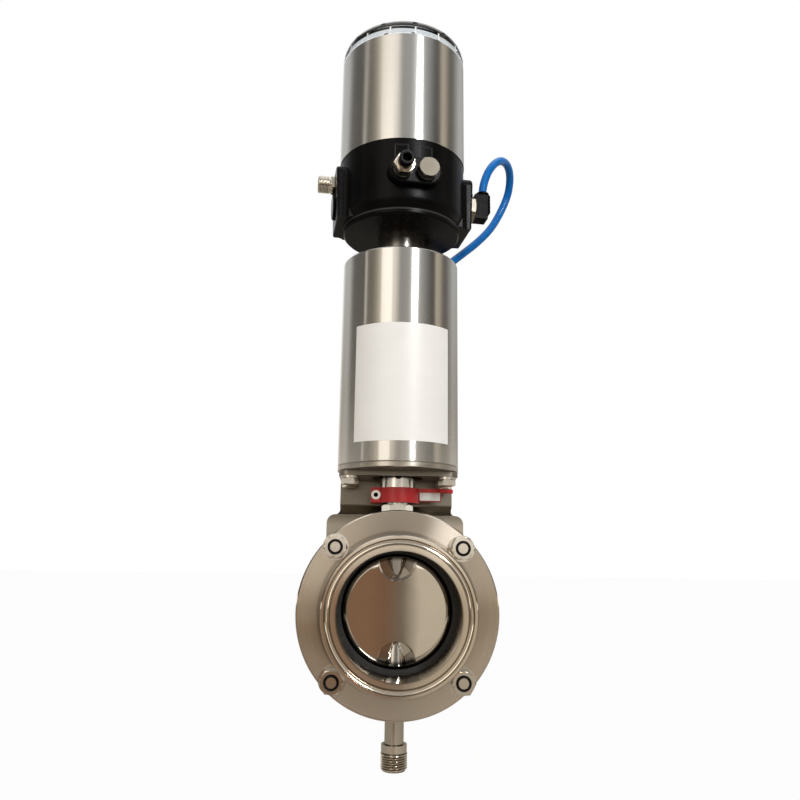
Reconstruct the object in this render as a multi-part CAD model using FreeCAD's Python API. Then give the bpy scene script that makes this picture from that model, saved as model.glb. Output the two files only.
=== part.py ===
import FreeCAD, Part
import math
import os

# Mixproof butterfly valve with a pneumatic actuator and a control head, in millimetres.
# The origin is where the pipe axis (Y) crosses the stem axis (Z). The front looks along -Y.

V = FreeCAD.Vector
X = V(1, 0, 0)
Y = V(0, 1, 0)
Z = V(0, 0, 1)

# Fits and gaps
FIT = 0.05
RUN = 0.08
CLEAR = 0.3
EDGE = 0.6

# Pipe ends, for 3 inch clamp unions
BORE_R = 36.45
END_Y = 54.0
FERRULE_R = 45.5
FERRULE_RIM = 2.85
FERRULE_TAPER = math.radians(20)
GASKET_R = 41.8
GASKET_W = 1.6
GASKET_DEEP = 1.4
NECK_WALL = 2.2
NECK_ROOT = 2.5
LEAD_IN = 0.8
LEAD_IN_L = 2.7

# Body bolts
BOLT_D = 8.0
BOLT_HOLE = 9.0
BOLT_AF = 13.0
BOLT_HEAD = 5.3
BOLT_END = 0.4
BOLT_POINT = 1.0
BOLT_ROOM = 5.07
BOLT_RIM = 6.98
NUT_T = 6.8
NUT_MOUTH = 0.6
WASHER_R = 8.0
WASHER_T = 1.6
BOLT_CIRCLE_R = BORE_R + NECK_WALL + NECK_ROOT + WASHER_R + BOLT_ROOM
BOLT_XZ = BOLT_CIRCLE_R * math.sqrt(0.5)

# Disc
DISC_BITE = 0.75
DISC_R = BORE_R + DISC_BITE
DISC_Y = 16.5
DISC_ROUND = 4.4
LEAK_Y = 6.0
LEAK_DEEP = 2.7
POCKET_R = 12.0
POCKET_IN = 7.2
POCKET_Z = DISC_R - POCKET_IN
POCKET_FLOOR_Y = 7.0
POCKET_DRAFT = 1.0
POCKET_RIM = 4.6
POCKET_RIM_R = DISC_R - POCKET_RIM
HUB_TOP_R = 9.6
HUB_TIP_R = 7.2
HUB_L = 12.6
HUB_Z = POCKET_RIM_R - HUB_L

# Seal rings
SEAL_Y0 = 9.5
SEAL_Y1 = 14.5
SEAL_LIP_Y = 11.0
SEAL_FACE = 2.4
SEAL_FACE_R = DISC_R - SEAL_FACE

# Body flanges and the ring between them
FLANGE_R = BOLT_CIRCLE_R + BOLT_RIM
FLANGE_T = 13.9
JOINT_Y = 19.0
RING_GAP = 0.6
RING_BORE_R = DISC_R + RING_GAP
SEAL_SEAT = 4.2
RING_SEAT_R = RING_BORE_R + SEAL_SEAT
RING_ROOM = 0.22
RING_R = BOLT_CIRCLE_R - BOLT_HOLE / 2 - RING_ROOM

# Stem, trunnion and their bushes
STEM_R = 7.0
STEM_PLUG_R = 6.0
STEM_PLUG = 13.4
STEM_SINK = 0.8
STEM_STEP_Z = DISC_R - STEM_SINK
STEM_PLUG_Z = STEM_STEP_Z - STEM_PLUG
STEM_FLAT = 1.2
BUSH_R = 8.5
BUSH_IN = 0.6
BUSH_L = 13.6
BUSH_Z0 = RING_BORE_R + BUSH_IN
BUSH_Z1 = BUSH_Z0 + BUSH_L
SEAL_BORE_R = 10.15
SEAL_BORE_L = 9.2
BOSS_R = 13.0
BOSS_TOP_Z = BUSH_Z1 + SEAL_BORE_L
O_RING = 2.9
GLAND_AF = 17.8
GLAND_H = 5.0
GLAND_SPIGOT = 3.4
TRUNNION_BORE = 3.0
LOWER_BUSH_L = 11.6
LOWER_BUSH_Z = -BUSH_Z0 - LOWER_BUSH_L
TRUNNION_SHORT = 0.5
TRUNNION_END_Z = LOWER_BUSH_Z + TRUNNION_SHORT
DRAIN_BOSS_R = 12.0
DRAIN_BOSS_T = 7.0
DRAIN_BOSS_Z = LOWER_BUSH_Z - DRAIN_BOSS_T

# Drain
DRAIN_R = 6.0
DRAIN_BORE_R = 4.5
DRAIN_SEAT = 5.0
DRAIN_L = 23.3
DRAIN_COLLAR_Z = DRAIN_BOSS_Z - DRAIN_L
DRAIN_COLLAR_R = 8.0
DRAIN_COLLAR_H = 4.3
DRAIN_MOUTH = 1.2
DRAIN_SOCKET = 2.3
DRAIN_THREAD_R = 8.33
DRAIN_THREAD = 10.9
DRAIN_POINT = 1.2
DRAIN_GROOVE = 0.9

# Coupling and position indicator
COUPLING_R = 11.5
COUPLING_GAP = 1.2
COUPLING_Z0 = BOSS_TOP_Z + GLAND_H + COUPLING_GAP
COUPLING_H = 21.4
COUPLING_Z1 = COUPLING_Z0 + COUPLING_H
STEM_GRIP = 12.6
STEM_TOP_Z = COUPLING_Z0 + STEM_GRIP
SET_SCREW_D = 5.0
SET_SCREW_DOWN = 3.8
SET_SCREW_Z = COUPLING_Z1 - SET_SCREW_DOWN
SET_SCREW_DEEP = 0.9
SCREW_SOCKET_AF = 2.5
SQUARE = 10.0
RING_WALL = 2.9
RING_OUT_R = COUPLING_R + RING_WALL
RING_H = 9.6
LUG_OUT = 3.3
LUG_X = RING_OUT_R + LUG_OUT
LUG_Y0 = -9.0
LUG_Y1 = 7.0
LUG_GAP = 1.6
CLAMP_SCREW_D = 3.0
ARM_T = 2.5
ARM_L = 22.4
ARM_X = RING_OUT_R + ARM_L
ARM_TAPER_X = RING_OUT_R + 11.6
ARM_Y = 4.5
TAG_WALL_Y = 2.5
TAG_WALL_T = 2.0
TAG_GAP = 0.2
TAG_L = 13.4
TAG_X0 = RING_OUT_R + TAG_GAP
TAG_X1 = TAG_X0 + TAG_L
TAG_H = 5.2
TAG_T = 1.0

# Actuator
ACT_R = 40.0
ACT_WALL = 2.5
ACT_L = 141.7
PLATE_OVERLAP = 1.9
PLATE_Z = COUPLING_Z1 - PLATE_OVERLAP
CAP_LIP_H = 3.9
CAP_LIP_EDGE = 0.8
CAP_SEAM = 0.5
CAP_SPIGOT = 10.0
CAP_RECESS_GAP = 2.5
ACT_TOP_Z = PLATE_Z + CAP_LIP_H + ACT_L
TOP_CAP_T = 12.0
CAP_SEAL_RISE = 3.0
CAP_SEAL_W = 3.0
CAP_SEAL_DEEP = 2.6
ROLL_R = 1.6
ROLL_IN = 1.5
BEARING_R = 11.0
BEARING_RIM_T = 1.5
BEARING_Z0 = COUPLING_Z1 + 0.5
JOURNAL_R = 9.0
STROKE = 25.0
PISTON_H = 12.0
PISTON_REST = 3.0
PISTON_Z0 = ACT_TOP_Z - ACT_WALL - TOP_CAP_T - PISTON_REST - PISTON_H
PISTON_SEAL_W = 4.8
PISTON_SEAL_DEEP = 4.0
PISTON_ROOM = 2.0
CAM_R = 12.0
CAM_FLANGE_R = 14.0
CAM_FLANGE_H = 2.5
CAM_TOP_Z = PISTON_Z0 - STROKE - PISTON_ROOM
CAM_SLOT_DEEP = 3.8
SLOT_RELIEF = 0.25
PIN_D = 7.0
PIN_DOWN = 21.0
PIN_TOP_Z = CAM_TOP_Z - PIN_DOWN
SLEEVE_GAP = 0.4
SLEEVE_BORE_R = CAM_R + SLEEVE_GAP
SLEEVE_WALL = 4.6
SLEEVE_R = SLEEVE_BORE_R + SLEEVE_WALL
SLEEVE_FOOT = 8.0
SLEEVE_BOTTOM_Z = PIN_TOP_Z - SLEEVE_FOOT
GUIDE_BORE_R = SLEEVE_R + SLEEVE_GAP
GUIDE_WALL = 3.6
GUIDE_R = GUIDE_BORE_R + GUIDE_WALL
GUIDE_SHORT = 2.0
GUIDE_TOP_Z = CAM_TOP_Z - GUIDE_SHORT
GUIDE_FOOT_W = 4.0
GUIDE_FOOT_R = GUIDE_R + GUIDE_FOOT_W
GUIDE_FOOT_T = 3.0
SPRING_WIRE = 5.5
SPRING_IN = 7.0
SPRING_R = ACT_R - ACT_WALL - SPRING_IN
SPRING_TURNS = 4.5
ROD_R = 5.0
ROD_SEAT = 4.0
ROD_TIP_R = 3.0
ROD_L = 119.0
ROD_TOP_Z = PISTON_Z0 + ROD_L
MAGNET_R = 8.0
MAGNET_H = 10.0
ROD_SEAL_R = 8.0
ROD_SEAL_H = 4.0

# Bracket of bent sheet
SHEET = 3.0
PLATE_FRONT_Y = -19.0
WEB_Y = 21.0
WEB_IN = 1.5
WEB_HALF = ACT_R - WEB_IN
LOWER_EDGE = 9.66
LOWER_HALF = BOLT_XZ + LOWER_EDGE
LOWER_TAIL = 11.34
LOWER_Z = BOLT_XZ - LOWER_TAIL
LOWER_CORNER = 5.0
JOGGLE_DROP = 5.5
SHOULDER_R = 6.0
SHEET_BEND = 4.0
INNER_BEND = 1.5
PLATE_CORNER = 6.0
PLATE_HOLE_R = 17.0
FIXING_IN = 8.5
FIXING_X = ACT_R - FIXING_IN
FIXING_Y = 12.0
FIXING_D = 6.0
FIXING_AF = 10.0
FIXING_HEAD = 4.0
FIXING_DEEP = 8.0

# Neck between the actuator and the control head
NECK_R = 16.5
NECK_L = 22.5
NECK_BORE_R = 12.0
NECK_SPIGOT_R = 14.0
NECK_SPIGOT = 6.0
NECK_THREAD_R = 15.0
NECK_NUT_R = 21.0
NECK_NUT_H = 5.0

# Control head
HEAD_TURN = 8.0
SHELL_R = 45.0
SHELL_WALL = 1.5
SHELL_L = 80.0
BASE_STEP = 0.4
BASE_R = SHELL_R - BASE_STEP
BASE_Z = ACT_TOP_Z + NECK_L
BASE_LIP_IN = 3.4
BASE_LIP_R = BASE_R - BASE_LIP_IN
BASE_LIP_H = 3.9
BASE_LIP_GAP = 0.4
BASE_LIP_EDGE = 1.2
BASE_CONE_H = 11.0
BASE_CONE_Z = BASE_Z + BASE_CONE_H
BASE_FLOOR = 6.0
BASE_WALL = 3.4
BASE_H = 52.5
SEAM_Z = BASE_Z + BASE_H
SHELL_TOP_Z = SEAM_Z + SHELL_L
SPIGOT_H = 7.0
SHELL_SEAL_RISE = 2.0
SHELL_SEAL_W = 2.0
SHELL_SEAL_DEEP = 1.0
LIGHT_H = 6.2
LIGHT_WALL = 3.0
LIGHT_SPIGOT = 5.0
CAP_STEP = 4.0
CAP_SPIGOT_H = 3.0
CAP_IN = 0.6
CAP_R = SHELL_R - CAP_IN
CAP_H = 8.0
CAP_CROWN = 0.6
CAP_SHOULDER = 7.6
CAP_WALL = 2.5
CAP_NOTCHES = 12
CAP_NOTCH_W = 3.2
CAP_NOTCH_DEEP = 2.2
CAP_NOTCH_RISE = 2.5
SIDE_PROUD = 4.4
SIDE_X = BASE_R + SIDE_PROUD
SIDE_LEAN = 1.6
SIDE_LOW_X = SIDE_X - SIDE_LEAN
SIDE_ROOT_X = 30.0
SIDE_HALF = 17.0
SIDE_BLEND = 5.0
SIDE_EDGE = 1.6
SIDE_DOWN = 7.5
SIDE_TOP_Z = SEAM_Z - SIDE_DOWN
SIDE_ROUND = 7.0
PORT_UP = 27.0
PORT_Z = BASE_Z + PORT_UP
PORT_X = 8.3
PORT_PROUD = 5.4
PORT_Y = BASE_R + PORT_PROUD
PORT_PAD_R = 9.4
PORT_PAD_L = 15.0
SHELF_T = 3.0
SHELF_UP = 25.0
SHELF_Z = BASE_Z + SHELF_UP
SHELF_HALF = 24.0
SHELF_FRONT_Y = -30.0
BOARD_HALF = 32.0
BOARD_Y = 19.0
BOARD_T = 1.6
BOARD_SHORT = 22.0
BOARD_TOP_Z = SHELL_TOP_Z - BOARD_SHORT
BOARD_EDGE = 2.0
CARRIER_T = 4.0
CARRIER_GAP = 1.5
CARRIER_FOOT_X = 18.0
CARRIER_FOOT_HALF = 4.0
CHIP_T = 2.0
VALVE_HALF = 20.0
VALVE_W = 23.0
VALVE_GAP = 1.77
VALVE_FOOT_H = 14.0
COIL_W = 18.0
COIL_H = 36.0
COIL_IN = 2.0
LABEL_HALF = 4.2
LABEL_DEEP = 0.5
LABEL_UP = 3.0

# Fittings on the control head, hose size 6
TUBE_R = 3.0
TUBE_HOLE_R = 3.05
SPIGOT_R = 4.0
HEX_AF = 13.0
HEX_H = 6.0
PUSH_BODY_R = 5.6
PUSH_BODY_H = 4.0
COLLET_R = 5.0
COLLET_H = 3.0
COLLET_PLAY = 1.0
COLLET_NECK_R = 4.3
HOSE_DEEP = 2.0
PLUG_HEX_H = 4.5
SEAL_WASHER_T = 1.2
THREAD_R = 4.8
THREAD_L = 7.0
CONNECTOR_UP = 36.0
CONNECTOR_Z = BASE_Z + CONNECTOR_UP
CONNECTOR_R = 6.0
CONNECTOR_WALL = 1.0
CONNECTOR_L = 12.0
CONNECTOR_FLANGE_R = 7.3
CONNECTOR_FLANGE_T = 3.2
COVER_UP = 19.3
COVER_Z = BASE_Z + COVER_UP
COVER_R = 9.0
COVER_T = 2.0
ELBOW_UP = 27.5
ELBOW_Z = BASE_Z + ELBOW_UP
ELBOW_OUT = 11.6
ELBOW_X = SIDE_X + ELBOW_OUT
ELBOW_HALF = 5.2
ELBOW_LOW = 7.7
ELBOW_TOP = 11.0
ELBOW_STEM_AF = 17.0
ELBOW_STEM_T = 5.6

# Elbow on the actuator's top cap
AIR_X = 14.0
AIR_Y = 22.0
AIR_TURN = 30.0
AIR_HEX_AF = 11.0
AIR_HEX_H = 4.0
AIR_THREAD = 5.0
AIR_RISE = 12.5
AIR_Z = ACT_TOP_Z + AIR_RISE
AIR_BODY_R = 5.0
AIR_REACH = 9.0
AIR_LIP = 1.6


def outline(start, *steps):
    """A closed wire in the XZ plane: each step is an end point, or a middle and an end point of an arc."""
    point = V(start[0], 0, start[1])
    edges = []
    for step in steps + (start,):
        if isinstance(step[0], tuple):
            middle = V(step[0][0], 0, step[0][1])
            end = V(step[1][0], 0, step[1][1])
            edges.append(Part.Arc(point, middle, end).toShape())
        else:
            end = V(step[0], 0, step[1])
            if (end - point).Length < 1e-6:
                continue
            edges.append(Part.LineSegment(point, end).toShape())
        point = end
    return Part.Wire(edges)


def turned(start, *steps):
    """A solid turned about Z from an outline of radius and height."""
    return Part.Face(outline(start, *steps)).revolve(V(), Z, 360)


def about_y(shape, side=1):
    """Lays a turned solid's axis along +Y or -Y, with its height as the distance from the stem axis."""
    turned_shape = shape.copy()
    turned_shape.rotate(V(), X, -90 if side > 0 else 90)
    return turned_shape


def cylinder(radius, low, high, x=0.0, y=0.0):
    return Part.makeCylinder(radius, high - low, V(x, y, low), Z)


def tube(outer, inner, low, high, x=0.0, y=0.0):
    return cylinder(outer, low, high, x, y).cut(cylinder(inner, low - 1, high + 1, x, y))


def block(x0, x1, y0, y1, z0, z1):
    return Part.makeBox(x1 - x0, y1 - y0, z1 - z0, V(x0, y0, z0))


def hexagon(across_flats, low, high, x=0.0, y=0.0, chamfer=0.0):
    """A hexagonal prism about Z, with both ends turned down to the flats where a chamfer is asked."""
    corner = across_flats / math.sqrt(3)
    points = [V(x + corner * math.cos(math.radians(60 * k)), y + corner * math.sin(math.radians(60 * k)), low)
              for k in range(7)]
    prism = Part.Face(Part.makePolygon(points)).extrude(V(0, 0, high - low))
    if chamfer:
        flat = across_flats / 2
        cone = turned((0, low), (flat, low), (corner + 0.01, low + chamfer), (corner + 0.01, high - chamfer),
                      (flat, high), (0, high))
        cone.translate(V(x, y, 0))
        prism = prism.common(cone)
    return prism


def aim(shape, point, direction):
    """Moves a shape built upwards from the origin to a point, with its Z along a direction."""
    aimed = shape.copy()
    aimed.Placement = FreeCAD.Placement(point, FreeCAD.Rotation(Z, direction)).multiply(aimed.Placement)
    return aimed


def joined(first, *others):
    return first.fuse(list(others)).removeSplitter()


def in_head(shape):
    """Turns a piece of the control head with the head on its neck."""
    moved = shape.copy()
    moved.rotate(V(), Z, HEAD_TURN)
    return moved


def save(node, shape):
    solid = shape.Solids[0] if len(shape.Solids) == 1 else shape
    if not solid.isValid():
        raise ValueError(node + " isn't a valid solid")
    solid.exportStep("parts/" + node + ".step")
    print(node, "solids", len(shape.Solids), "volume", round(shape.Volume, 1))


def bolt_places():
    return [(BOLT_XZ * a, BOLT_XZ * b) for a in (-1, 1) for b in (-1, 1)]


def bolt_holes():
    return [Part.makeCylinder(BOLT_HOLE / 2, 4 * END_Y, V(x, -2 * END_Y, z), Y) for x, z in bolt_places()]


# Valve body
def flange_face_y():
    return JOINT_Y + FLANGE_T


def body_flange(side):
    neck_r = BORE_R + NECK_WALL
    face = flange_face_y()
    taper = (FERRULE_R - neck_r) * math.tan(FERRULE_TAPER)
    back = END_Y - FERRULE_RIM
    spigot_r = RING_SEAT_R - FIT
    bend = NECK_ROOT * (1 - math.sqrt(0.5))
    flange = turned(
        (BORE_R + LEAD_IN, SEAL_Y1), (spigot_r, SEAL_Y1), (spigot_r, JOINT_Y), (FLANGE_R - EDGE, JOINT_Y),
        (FLANGE_R, JOINT_Y + EDGE), (FLANGE_R, face - EDGE), (FLANGE_R - EDGE, face),
        (neck_r + NECK_ROOT, face),
        ((neck_r + bend, face + bend), (neck_r, face + NECK_ROOT)), (neck_r, back - taper), (FERRULE_R, back),
        (FERRULE_R, END_Y - EDGE), (FERRULE_R - EDGE, END_Y), (GASKET_R + GASKET_W, END_Y),
        ((GASKET_R, END_Y - GASKET_DEEP), (GASKET_R - GASKET_W, END_Y)), (BORE_R, END_Y),
        (BORE_R, SEAL_Y1 + LEAD_IN_L))
    return about_y(flange, side).cut(bolt_holes())


def body_ring():
    ring = turned((RING_BORE_R, -SEAL_Y0), (RING_BORE_R, SEAL_Y0), (RING_SEAT_R, SEAL_Y0),
                  (RING_SEAT_R, JOINT_Y),
                  (RING_R, JOINT_Y), (RING_R, -JOINT_Y), (RING_SEAT_R, -JOINT_Y), (RING_SEAT_R, -SEAL_Y0))
    inside = about_y(cylinder(RING_BORE_R, -JOINT_Y, JOINT_Y))
    seats = [about_y(cylinder(RING_SEAT_R, SEAL_Y0, JOINT_Y), side) for side in (-1, 1)]
    upper = cylinder(BOSS_R, RING_BORE_R - 4, BOSS_TOP_Z)
    lower = cylinder(DRAIN_BOSS_R, DRAIN_BOSS_Z, -RING_BORE_R + 4)
    body = joined(about_y(ring), upper, lower).cut([inside] + seats)
    bores = [cylinder(BUSH_R, 30, BUSH_Z1), cylinder(SEAL_BORE_R, BUSH_Z1, BOSS_TOP_Z + 1),
             cylinder(BUSH_R, LOWER_BUSH_Z, -30), cylinder(DRAIN_BORE_R, DRAIN_BOSS_Z - 1, -40),
             cylinder(DRAIN_R + FIT, DRAIN_BOSS_Z - 1, DRAIN_BOSS_Z + DRAIN_SEAT)]
    return body.cut(bores)


def seal_ring(side):
    reach = DISC_R + CLEAR
    lip_r = math.sqrt(reach ** 2 - SEAL_Y0 ** 2)
    middle_y = (SEAL_Y0 + SEAL_LIP_Y) / 2
    middle_r = math.sqrt(reach ** 2 - middle_y ** 2)
    heel_r = math.sqrt(reach ** 2 - SEAL_LIP_Y ** 2)
    outer = RING_SEAT_R - FIT
    seal = turned((outer, SEAL_Y0), (outer, SEAL_Y1), (SEAL_FACE_R, SEAL_Y1), (heel_r, SEAL_LIP_Y),
                  ((middle_r, middle_y), (lip_r, SEAL_Y0)))
    return about_y(seal, side)


def fastener_row(build):
    """One node of pieces, a piece at each of the four body bolts."""
    return Part.makeCompound([build(x, z) for x, z in bolt_places()])


def bolt_seat_back(z):
    return flange_face_y() + (SHEET if z > 0 else 0)


def body_bolt(x, z):
    start = -flange_face_y() - WASHER_T - NUT_T - BOLT_END
    back = bolt_seat_back(z) + WASHER_T
    grip = back - start
    shank_r = BOLT_D / 2
    shank = turned((0, 0), (shank_r - BOLT_POINT, 0), (shank_r, BOLT_POINT), (shank_r, grip), (0, grip))
    head = hexagon(BOLT_AF, grip, grip + BOLT_HEAD, chamfer=EDGE)
    return aim(joined(shank, head), V(x, start, z), Y)


def body_nut(x, z):
    bore_r = BOLT_D / 2
    mouth = Part.makeCone(bore_r, bore_r + 2 * NUT_MOUTH, 2 * NUT_MOUTH, V(0, 0, NUT_T - NUT_MOUTH), Z)
    nut = hexagon(BOLT_AF, 0, NUT_T, chamfer=EDGE).cut([cylinder(bore_r, -1, NUT_T + 1), mouth])
    return aim(nut, V(x, -flange_face_y() - WASHER_T, z), -Y)


def body_washers(x, z):
    front = aim(tube(WASHER_R, BOLT_D / 2 + FIT, 0, WASHER_T), V(x, -flange_face_y(), z), -Y)
    rear = aim(tube(WASHER_R, BOLT_D / 2 + FIT, 0, WASHER_T), V(x, bolt_seat_back(z), z), Y)
    return Part.makeCompound([front, rear])


# Disc, stem and trunnion
def disc():
    """A slice of a ball with round rims, a leak groove, and a pocket and hub at each stem on both sides."""
    slab = about_y(cylinder(DISC_R + 1, -DISC_Y, DISC_Y))
    body = Part.makeSphere(DISC_R).common(slab)
    body = rounded(body, DISC_ROUND,
                   lambda e: e.BoundBox.YLength < 0.01 and abs(e.BoundBox.Center.y) > DISC_Y - 0.01)
    groove_r = DISC_R - LEAK_DEEP
    groove = turned((groove_r, 1 - LEAK_Y), (DISC_R + 1, -LEAK_Y - 0.3), (DISC_R + 1, LEAK_Y + 0.3),
                    (groove_r, LEAK_Y - 1))
    body = body.cut(about_y(groove))
    rim = about_y(cylinder(POCKET_RIM_R, -DISC_Y - 1, DISC_Y + 1))
    for end in (-1, 1):
        hub = turned((0, HUB_Z - 2), (HUB_TIP_R - 2, HUB_Z - 2), (HUB_TIP_R, HUB_Z),
                     (HUB_TOP_R, POCKET_RIM_R),
                     (0, POCKET_RIM_R))
        if end < 0:
            hub.rotate(V(), X, 180)
        for side in (-1, 1):
            depth = DISC_Y - POCKET_FLOOR_Y
            pocket = Part.makeCone(POCKET_R - POCKET_DRAFT, POCKET_R, depth)
            pocket = aim(pocket, V(0, side * POCKET_FLOOR_Y, end * POCKET_Z), Y * side)
            body = body.cut(pocket.common(rim).cut(hub))
    socket = cylinder(STEM_PLUG_R + FIT, STEM_PLUG_Z, DISC_R + 1)
    lower_socket = cylinder(STEM_PLUG_R + FIT, -DISC_R - 1, -STEM_PLUG_Z)
    collars = [tube(DISC_R, STEM_R, STEM_STEP_Z, DISC_R + 1), tube(DISC_R, STEM_R, -DISC_R - 1, -STEM_STEP_Z)]
    seats = [cylinder(STEM_R + FIT, STEM_STEP_Z, DISC_R + 1),
             cylinder(STEM_R + FIT, -DISC_R - 1, -STEM_STEP_Z)]
    return body.cut([socket, lower_socket] + collars + seats)


def stem():
    rod = turned((0, STEM_PLUG_Z), (STEM_PLUG_R, STEM_PLUG_Z), (STEM_PLUG_R, STEM_STEP_Z),
                 (STEM_R, STEM_STEP_Z),
                 (STEM_R, STEM_TOP_Z - EDGE), (STEM_R - EDGE, STEM_TOP_Z), (0, STEM_TOP_Z))
    flat = block(-STEM_R, STEM_R, STEM_R - STEM_FLAT, STEM_R + 1, COUPLING_Z0 + 1, STEM_TOP_Z + 1)
    return rod.cut(flat)


def trunnion():
    pin = turned((TRUNNION_BORE, TRUNNION_END_Z), (STEM_R - EDGE, TRUNNION_END_Z),
                 (STEM_R, TRUNNION_END_Z + EDGE),
                 (STEM_R, -STEM_STEP_Z), (STEM_PLUG_R, -STEM_STEP_Z), (STEM_PLUG_R, -STEM_PLUG_Z),
                 (0, -STEM_PLUG_Z), (0, -STEM_STEP_Z + 3), (TRUNNION_BORE, -STEM_STEP_Z + 1))
    inlet_r = 1.2
    inlet = Part.makeCylinder(inlet_r, 4 * STEM_R, V(0, -2 * STEM_R, -STEM_STEP_Z - inlet_r - 0.1), Y)
    return pin.cut(inlet)


def stem_bush(low, high):
    return tube(BUSH_R - FIT, STEM_R + RUN, low, high)


def stem_o_rings():
    centre = (STEM_R + SEAL_BORE_R) / 2
    first = BUSH_Z1 + O_RING / 2 + 0.1
    corners = [(centre + O_RING / 2 * math.cos(math.radians(a)),
                first + O_RING / 2 * math.sin(math.radians(a)))
               for a in range(0, 360, 45)]
    ring = turned(*corners)
    above = ring.copy()
    above.translate(V(0, 0, O_RING + 0.1))
    return Part.makeCompound([ring, above])


def gland_nut():
    nut = hexagon(GLAND_AF, BOSS_TOP_Z, BOSS_TOP_Z + GLAND_H, chamfer=EDGE)
    spigot = cylinder(SEAL_BORE_R - FIT, BOSS_TOP_Z - GLAND_SPIGOT + 0.4, BOSS_TOP_Z)
    return joined(nut, spigot).cut(cylinder(STEM_R + RUN, BUSH_Z1, STEM_TOP_Z))


def drain_tube():
    return tube(DRAIN_R, DRAIN_BORE_R, DRAIN_COLLAR_Z - DRAIN_SOCKET, DRAIN_BOSS_Z + DRAIN_SEAT)


def drain_fitting():
    """A round collar with a dished mouth for the tube, a groove, and a threaded end with a pointed entry."""
    low = DRAIN_COLLAR_Z - DRAIN_COLLAR_H
    end = low - DRAIN_THREAD
    thread_top = low - DRAIN_GROOVE
    groove_r = DRAIN_COLLAR_R - DRAIN_GROOVE
    socket_r = DRAIN_R + FIT
    socket_z = DRAIN_COLLAR_Z - DRAIN_SOCKET
    return turned(
        (DRAIN_BORE_R, end), (DRAIN_THREAD_R - DRAIN_POINT, end), (DRAIN_THREAD_R, end + DRAIN_POINT),
        (DRAIN_THREAD_R, thread_top), (groove_r, thread_top), (groove_r, low), (DRAIN_COLLAR_R, low),
        (DRAIN_COLLAR_R, DRAIN_COLLAR_Z), (socket_r + DRAIN_MOUTH, DRAIN_COLLAR_Z),
        (socket_r, DRAIN_COLLAR_Z - DRAIN_MOUTH), (socket_r, socket_z), (DRAIN_BORE_R, socket_z))


# Bracket
def joggle_low_z():
    """The lower plate clears the flange's edge where the web steps back over it."""
    return FLANGE_R + CLEAR


def sheet_profile():
    """The bent sheet seen from the side: top plate, web, joggle and lower plate, with round bends."""
    back = flange_face_y()
    top = PLATE_Z
    low = joggle_low_z()
    high = low + JOGGLE_DROP
    path = [V(0, PLATE_FRONT_Y, top - SHEET), V(0, WEB_Y, top - SHEET), V(0, WEB_Y, high), V(0, back, low),
            V(0, back, LOWER_Z)]
    shift = SHEET * math.tan(math.atan2(back - WEB_Y, JOGGLE_DROP) / 2)
    offset = [V(0, PLATE_FRONT_Y, top), V(0, WEB_Y + SHEET, top), V(0, WEB_Y + SHEET, high + shift),
              V(0, back + SHEET, low + shift), V(0, back + SHEET, LOWER_Z)]
    return Part.Face(Part.makePolygon(path + offset[::-1] + [path[0]]))


def rounded(solid, radius, chosen):
    edges = [edge for edge in solid.Edges if chosen(edge)]
    return solid.makeFillet(radius, edges) if edges else solid


def along_x(edge, y, z):
    box = edge.BoundBox
    return box.XLength > 20 and abs(box.Center.y - y) < 0.2 and abs(box.Center.z - z) < 0.2


def bracket():
    wide = sheet_profile().extrude(V(2 * LOWER_HALF, 0, 0))
    wide.translate(V(-LOWER_HALF, 0, 0))
    inner_bends = [(WEB_Y, PLATE_Z - SHEET), (WEB_Y, joggle_low_z() + JOGGLE_DROP)]
    outer_bends = [(WEB_Y + SHEET, PLATE_Z)]
    wide = rounded(wide, INNER_BEND, lambda e: any(along_x(e, y, z) for y, z in inner_bends))
    wide = rounded(wide, SHEET_BEND, lambda e: any(along_x(e, y, z) for y, z in outer_bends))
    step = LOWER_HALF - WEB_HALF
    shoulder_z = joggle_low_z()
    soft = math.sqrt(0.5)
    side = outline(
        (0, LOWER_Z), (LOWER_HALF - LOWER_CORNER, LOWER_Z), (LOWER_HALF, LOWER_Z + LOWER_CORNER),
        (LOWER_HALF, shoulder_z - SHOULDER_R),
        ((LOWER_HALF - SHOULDER_R * (1 - soft), shoulder_z - SHOULDER_R * (1 - soft)),
         (LOWER_HALF - SHOULDER_R, shoulder_z)),
        ((WEB_HALF + (step - SHOULDER_R) * (1 - soft), shoulder_z + (step - SHOULDER_R) * (1 - soft)),
         (WEB_HALF, shoulder_z + step - SHOULDER_R)),
        (WEB_HALF, PLATE_Z + 1), (0, PLATE_Z + 1))
    half = Part.Face(side).extrude(V(0, 4 * END_Y, 0))
    half.translate(V(0, -2 * END_Y, 0))
    front = joined(half, half.mirror(V(), X))
    plate = wide.common(front)
    plate = rounded(plate, PLATE_CORNER, lambda e: abs(e.BoundBox.ZLength - SHEET) < 0.1
                    and abs(e.BoundBox.Center.y - PLATE_FRONT_Y) < 0.1 and e.BoundBox.XLength < 0.1)
    neck = about_y(cylinder(BORE_R + NECK_WALL + NECK_ROOT + 1, 0, 2 * END_Y))
    holes = [cylinder(PLATE_HOLE_R, PLATE_Z - 2 * SHEET, PLATE_Z + 1)]
    holes += [cylinder(FIXING_D / 2 + CLEAR, PLATE_Z - 2 * SHEET, PLATE_Z + 1, x, y)
              for x, y in fixing_places()]
    return plate.cut([neck] + holes + bolt_holes())


def fixing_places():
    return [(FIXING_X * a, FIXING_Y * b) for a in (-1, 1) for b in (-1, 1)]


def fixing_bolts():
    bolts = []
    under = PLATE_Z - SHEET - WASHER_T
    for x, y in fixing_places():
        head = hexagon(FIXING_AF, under - FIXING_HEAD, under, x, y, chamfer=0.4)
        bolts.append(joined(head, cylinder(FIXING_D / 2, under, PLATE_Z + FIXING_DEEP - 1, x, y)))
    return Part.makeCompound(bolts)


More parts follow.
